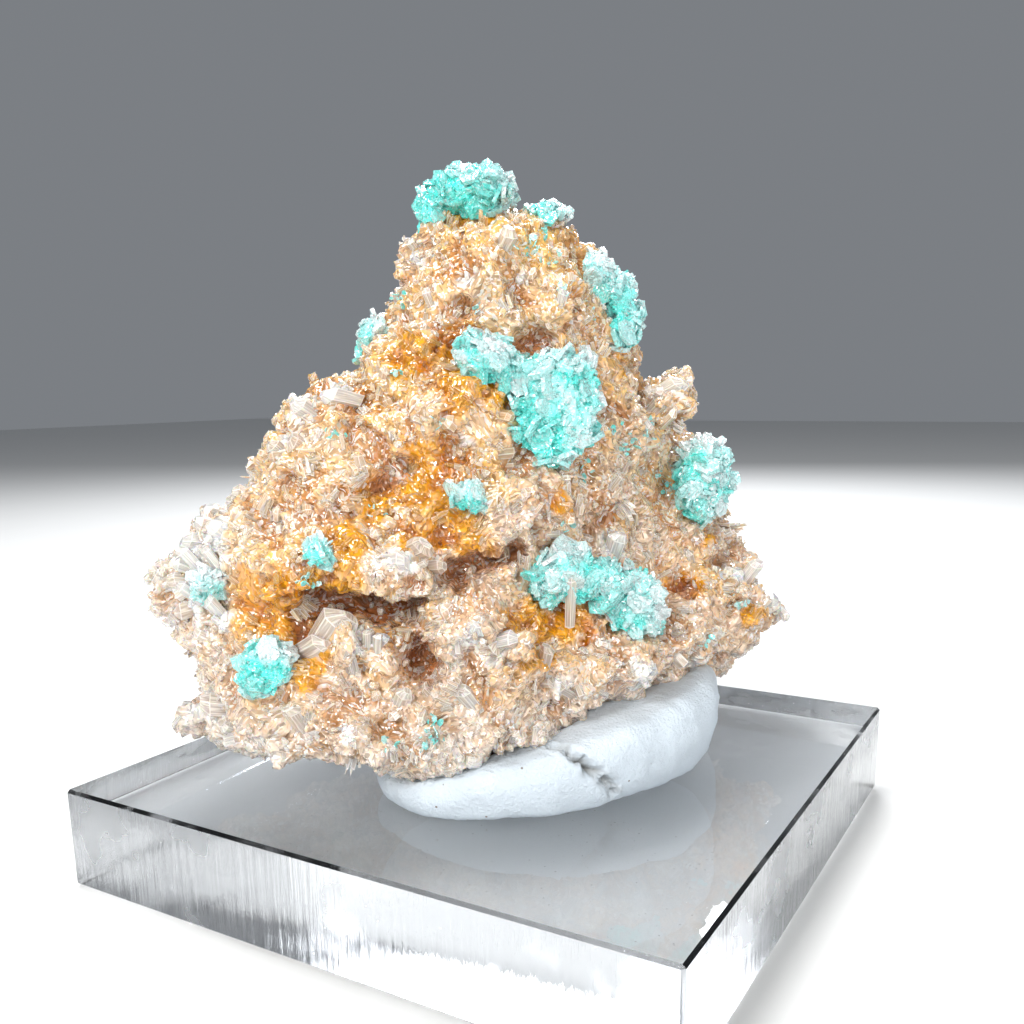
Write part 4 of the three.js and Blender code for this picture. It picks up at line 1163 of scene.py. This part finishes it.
def cluster_plates(verts, quads, settings, rng, clearness):
    """A cluster's plates: small ones edge-on to its surface, deep teal where they sit low and paler
    further out, and larger nearly clear ones that lie on it like scales."""
    area = spread(verts, quads, 1, rng)[2]
    count = int(area * settings.density)
    points, out, _area = spread(verts, quads, count, rng)
    outward = out * PLATES.off_face + unit(points - verts.mean(0)) * PLATES.off_middle
    along = unit(outward + PLATES.scatter * rng.normal(size=out.shape))
    radius = np.minimum(settings.plate / MM * rng.lognormal(0, PLATES.spread, count), PLATES.largest)
    rise = rng.uniform(*PLATES.rise, count)
    rim = cluster_rim(points, verts, clearness) + PLATES.paler * rise
    rim += PLATES.own_rim * rng.normal(size=count)
    points = points + along * (radius * rise)[:, None]
    across = across_of(along, rng)
    thick = radius * rng.uniform(*PLATES.thick, count)
    small, _corners = plates(points, along, across, radius, thick, rng)

    count = int(area * settings.scales)
    points, out, _area = spread(verts, quads, count, rng)
    facing = unit(out + SCALES.tilt * rng.normal(size=out.shape))
    along = across_of(facing, rng)
    across = unit(np.cross(facing, along))
    radius = rng.uniform(*SCALES.radius, count)
    scale_rim = cluster_rim(points, verts, clearness) + SCALES.paler
    scale_rim += SCALES.own_rim * rng.normal(size=count)
    thick = radius * rng.uniform(*SCALES.thick, count)
    large, corners = plates(points + out * SCALES.above, along, across, radius, thick, rng)
    rims = np.clip(np.concatenate([rim, scale_rim]), 0, 1)
    return joined([small, large]), np.repeat(rims, corners)


class SPECIMEN_OT_devilline(Operator):
    """Grows each devilline cluster: a faceted heart with thin plates standing out of it and scales on it"""

    bl_idname = "specimen.devilline"
    bl_label = "Devilline clusters"

    def execute(self, context):
        settings = context.scene.specimen_devilline
        finishes = [
            devilline_material("devilline_heart", settings, 0.0),
            devilline_material("devilline_plates", settings, 0.24),
        ]
        for i, name in enumerate(CLUSTERS):
            rng = np.random.default_rng(SEEDS.clusters + i)
            verts, quads, normals = fine_surface(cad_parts[name], HEART_VOXEL, EASING.heart)
            verts = verts + normals * relief(verts, HEART_WAVES, HEART_FACETS, i)[:, None]
            clearness = CLEARNESS.get(name, 0.0)
            own_rim = RIM.heart_patches * waves(verts, RIM.heart_patch_size, SEEDS.heart_rim)
            rim = np.clip(cluster_rim(verts, verts, clearness) - RIM.heart_deeper + own_rim, 0, 1)
            grown, plate_rim = cluster_plates(verts, quads, settings, rng, clearness)
            made = joined([four_cornered(verts, quads), grown])
            marks = {"rim": np.concatenate([rim, plate_rim])}
            piece = new_piece("grown_" + name, made, False, marks, finishes, [name])
            index = (np.arange(len(made[2])) >= len(quads)).astype(np.int32)
            piece.data.polygons.foreach_set("material_index", index)
        return {"FINISHED"}


class SPECIMEN_OT_flecks(Operator):
    """Scatters small teal flecks of devilline on the rock's face"""

    bl_idname = "specimen.flecks"
    bl_label = "Devilline flecks"

    def execute(self, context):
        settings = context.scene.specimen_devilline
        kind = FLECK_PLATES
        rng = np.random.default_rng(SEEDS.flecks)
        corners = crust["verts"][crust["quads"]]
        middles = corners.mean(1)
        cross = np.cross(corners[:, 2] - corners[:, 0], corners[:, 3] - corners[:, 1])
        places = face_turn(np.array(FLECKS), FACE_TURN)
        nearest = np.array([((middles - place) ** 2).sum(1).argmin() for place in places])
        seat = np.repeat(nearest, rng.integers(*kind.each, len(nearest)))
        count = len(seat)
        out = unit(cross[seat])
        points = middles[seat] + kind.scatter * rng.normal(size=out.shape) + out * kind.above
        along = unit(out + kind.tilt * rng.normal(size=out.shape))
        radius = rng.uniform(*kind.radius, count)
        made, per_plate = plates(points, along, across_of(along, rng), radius, radius * kind.thick, rng)
        marks = {"rim": np.repeat(rng.uniform(*kind.rim, count), per_plate)}
        finish = devilline_material("devilline_fleck", settings, 0.2)
        new_piece("devilline_flecks", made, False, marks, [finish])
        return {"FINISHED"}


class SPECIMEN_OT_putty(Operator):
    """Shapes the putty pad: the pad's surface pressed in broad dents, with a crumbly crack in front"""

    bl_idname = "specimen.putty"
    bl_label = "Putty pad"

    def execute(self, context):
        putty = context.scene.specimen_putty
        verts, quads, normals = fine_surface(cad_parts["putty_pad"], putty.voxel, EASING.putty)
        face = face_turn(verts, -FACE_TURN)
        path = along_line(CRACK, CRACKED.places)
        path += CRACKED.sway * wander(path, CRACKED.sway_size, SEEDS.crack)
        far = np.full(len(face), np.inf)
        for place in path:
            far = np.minimum(far, np.linalg.norm(face - place, axis=1))
        crumble = CRACKED.crumble * (1 + waves(verts, CRACKED.crumble_size, SEEDS.crumble))
        # painted shade in the crack, as the mark crack, where its crumbling reaches
        marks = {"crack": bell(far, CRACKED.shade_width) * np.clip(crumble, 0, 1)}
        lift = PUTTY_LIFT + relief(verts, PUTTY_WAVES)
        lift -= CRACKED.depth * bell(far, CRACKED.width) * crumble
        lift += CRACKED.lip * bell(far - CRACKED.lip_away, CRACKED.lip_width) * crumble
        verts = verts + normals * lift[:, None]
        low = np.clip(1 - (verts[:, 2] - SLAB_TOP) / PUTTY_FOOT.height, 0, 1)
        verts[:, 2] = np.maximum(verts[:, 2] - PUTTY_FOOT.lower * low, SLAB_TOP + PUTTY_FOOT.gap)
        made = four_cornered(verts, quads)
        new_piece("putty", made, True, marks, [putty_material(putty)], ["putty_pad"])
        return {"FINISHED"}


class SPECIMEN_OT_slab(Operator):
    """Finishes the clear acrylic slab, whose shape is the CAD node's own"""

    bl_idname = "specimen.slab"
    bl_label = "Acrylic slab"

    def execute(self, context):
        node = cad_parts["acrylic_base"]
        node.data.materials.clear()
        node.data.materials.append(slab_material(context.scene.specimen_slab))
        return {"FINISHED"}


def area_light(name, place, size, power, colour):
    light = bpy.data.lights.new(name, "AREA")
    light.shape = "RECTANGLE"
    light.size, light.size_y = size
    light.energy = power
    light.color = colour
    lamp = bpy.data.objects.new(name, light)
    lamp.location = place
    lamp.rotation_euler = (Vector(LIGHTS_AIM) - Vector(place)).to_track_quat("-Z", "Y").to_euler()
    bpy.context.scene.collection.objects.link(lamp)


def pale_floor(colour):
    """A large square floor just under the slab, with faint darker smudges."""
    mesh = bpy.data.meshes.new("floor")
    half, z = FLOOR.half, FLOOR.z
    corners = [(-half, -half, z), (half, -half, z), (half, half, z), (-half, half, z)]
    mesh.from_pydata(corners, [], [(0, 1, 2, 3)])
    material, tree, shader = new_material("pale_floor", Roughness=FLOOR.roughness)
    smudges = noise(tree, object_point(tree), FLOOR.smudge_scale, 3.0)[0]
    darker = tuple(FLOOR.smudge * part for part in colour)
    feed(tree, shader, Base_Color=blend_colour(tree, smudges, colour, darker))
    mesh.materials.append(material)
    return bpy.data.objects.new("floor", mesh)


def photograph_camera(lens):
    """The camera, turned to its azimuth and elevation and rolled about its own axis."""
    azimuth, elevation, roll = map(math.radians, CAMERA.angles)
    level = math.cos(elevation)
    back = Vector((math.sin(azimuth) * level, -math.cos(azimuth) * level, math.sin(elevation)))
    right = Vector((math.cos(azimuth), math.sin(azimuth), 0.0))
    up = back.cross(right)
    side = right * math.cos(roll) + up * math.sin(roll)
    top = up * math.cos(roll) - right * math.sin(roll)
    data = bpy.data.cameras.new("camera")
    data.sensor_width = CAMERA.sensor
    data.lens = lens
    data.shift_y = CAMERA.shift
    data.clip_start = CAMERA.near
    camera = bpy.data.objects.new("camera", data)
    turn = Matrix((side, top, back)).transposed().to_4x4()
    camera.matrix_world = Matrix.Translation(Vector(CAMERA.place)) @ turn
    return camera


class SPECIMEN_OT_stage(Operator):
    """Sets the pale floor, the soft studio lights and the camera"""

    bl_idname = "specimen.stage"
    bl_label = "Stage"

    def execute(self, context):
        scene = context.scene
        floor = pale_floor(tuple(scene.specimen_stage.floor))
        scene.collection.objects.link(floor)

        world = bpy.data.worlds.new("studio")
        world.use_nodes = True
        background = world.node_tree.nodes["Background"]
        background.inputs["Color"].default_value = (*SKY.colour, 1.0)
        background.inputs["Strength"].default_value = SKY.strength
        scene.world = world
        for name, light in LIGHTS.items():
            area_light(name, *light)

        camera = photograph_camera(scene.specimen_stage.lens)
        scene.collection.objects.link(camera)
        scene.camera = camera
        scene.view_settings.view_transform = "Standard"
        return {"FINISHED"}


STEPS = "rock_crust rock_blades rock_grains clear_crystals devilline flecks putty slab stage".split()


class SPECIMEN_PT_panel(Panel):
    bl_label = "Devilline specimen"
    bl_idname = "SPECIMEN_PT_panel"
    bl_space_type = "VIEW_3D"
    bl_region_type = "UI"
    bl_category = "Specimen"

    def draw(self, context):
        for step in STEPS:
            self.layout.operator("specimen." + step)
        for name in SETTINGS:
            group = getattr(context.scene, name)
            box = self.layout.box()
            for key in group.__annotations__:
                box.prop(group, key)


SETTINGS = {
    "specimen_rock": RockSettings,
    "specimen_devilline": DevillineSettings,
    "specimen_putty": PuttySettings,
    "specimen_slab": SlabSettings,
    "specimen_stage": StageSettings,
}
OPERATORS = [
    SPECIMEN_OT_rock_crust,
    SPECIMEN_OT_rock_blades,
    SPECIMEN_OT_rock_grains,
    SPECIMEN_OT_clear_crystals,
    SPECIMEN_OT_devilline,
    SPECIMEN_OT_flecks,
    SPECIMEN_OT_putty,
    SPECIMEN_OT_slab,
    SPECIMEN_OT_stage,
]


def register():
    for kind in [*SETTINGS.values(), *OPERATORS, SPECIMEN_PT_panel]:
        bpy.utils.register_class(kind)
    for name, kind in SETTINGS.items():
        setattr(bpy.types.Scene, name, PointerProperty(type=kind))


def unregister():
    for name in SETTINGS:
        delattr(bpy.types.Scene, name)
    for kind in [SPECIMEN_PT_panel, *OPERATORS[::-1], *SETTINGS.values()]:
        bpy.utils.unregister_class(kind)


def main():
    register()
    for step in STEPS:
        getattr(bpy.ops.specimen, step)()


if __name__ == "__main__":
    main()
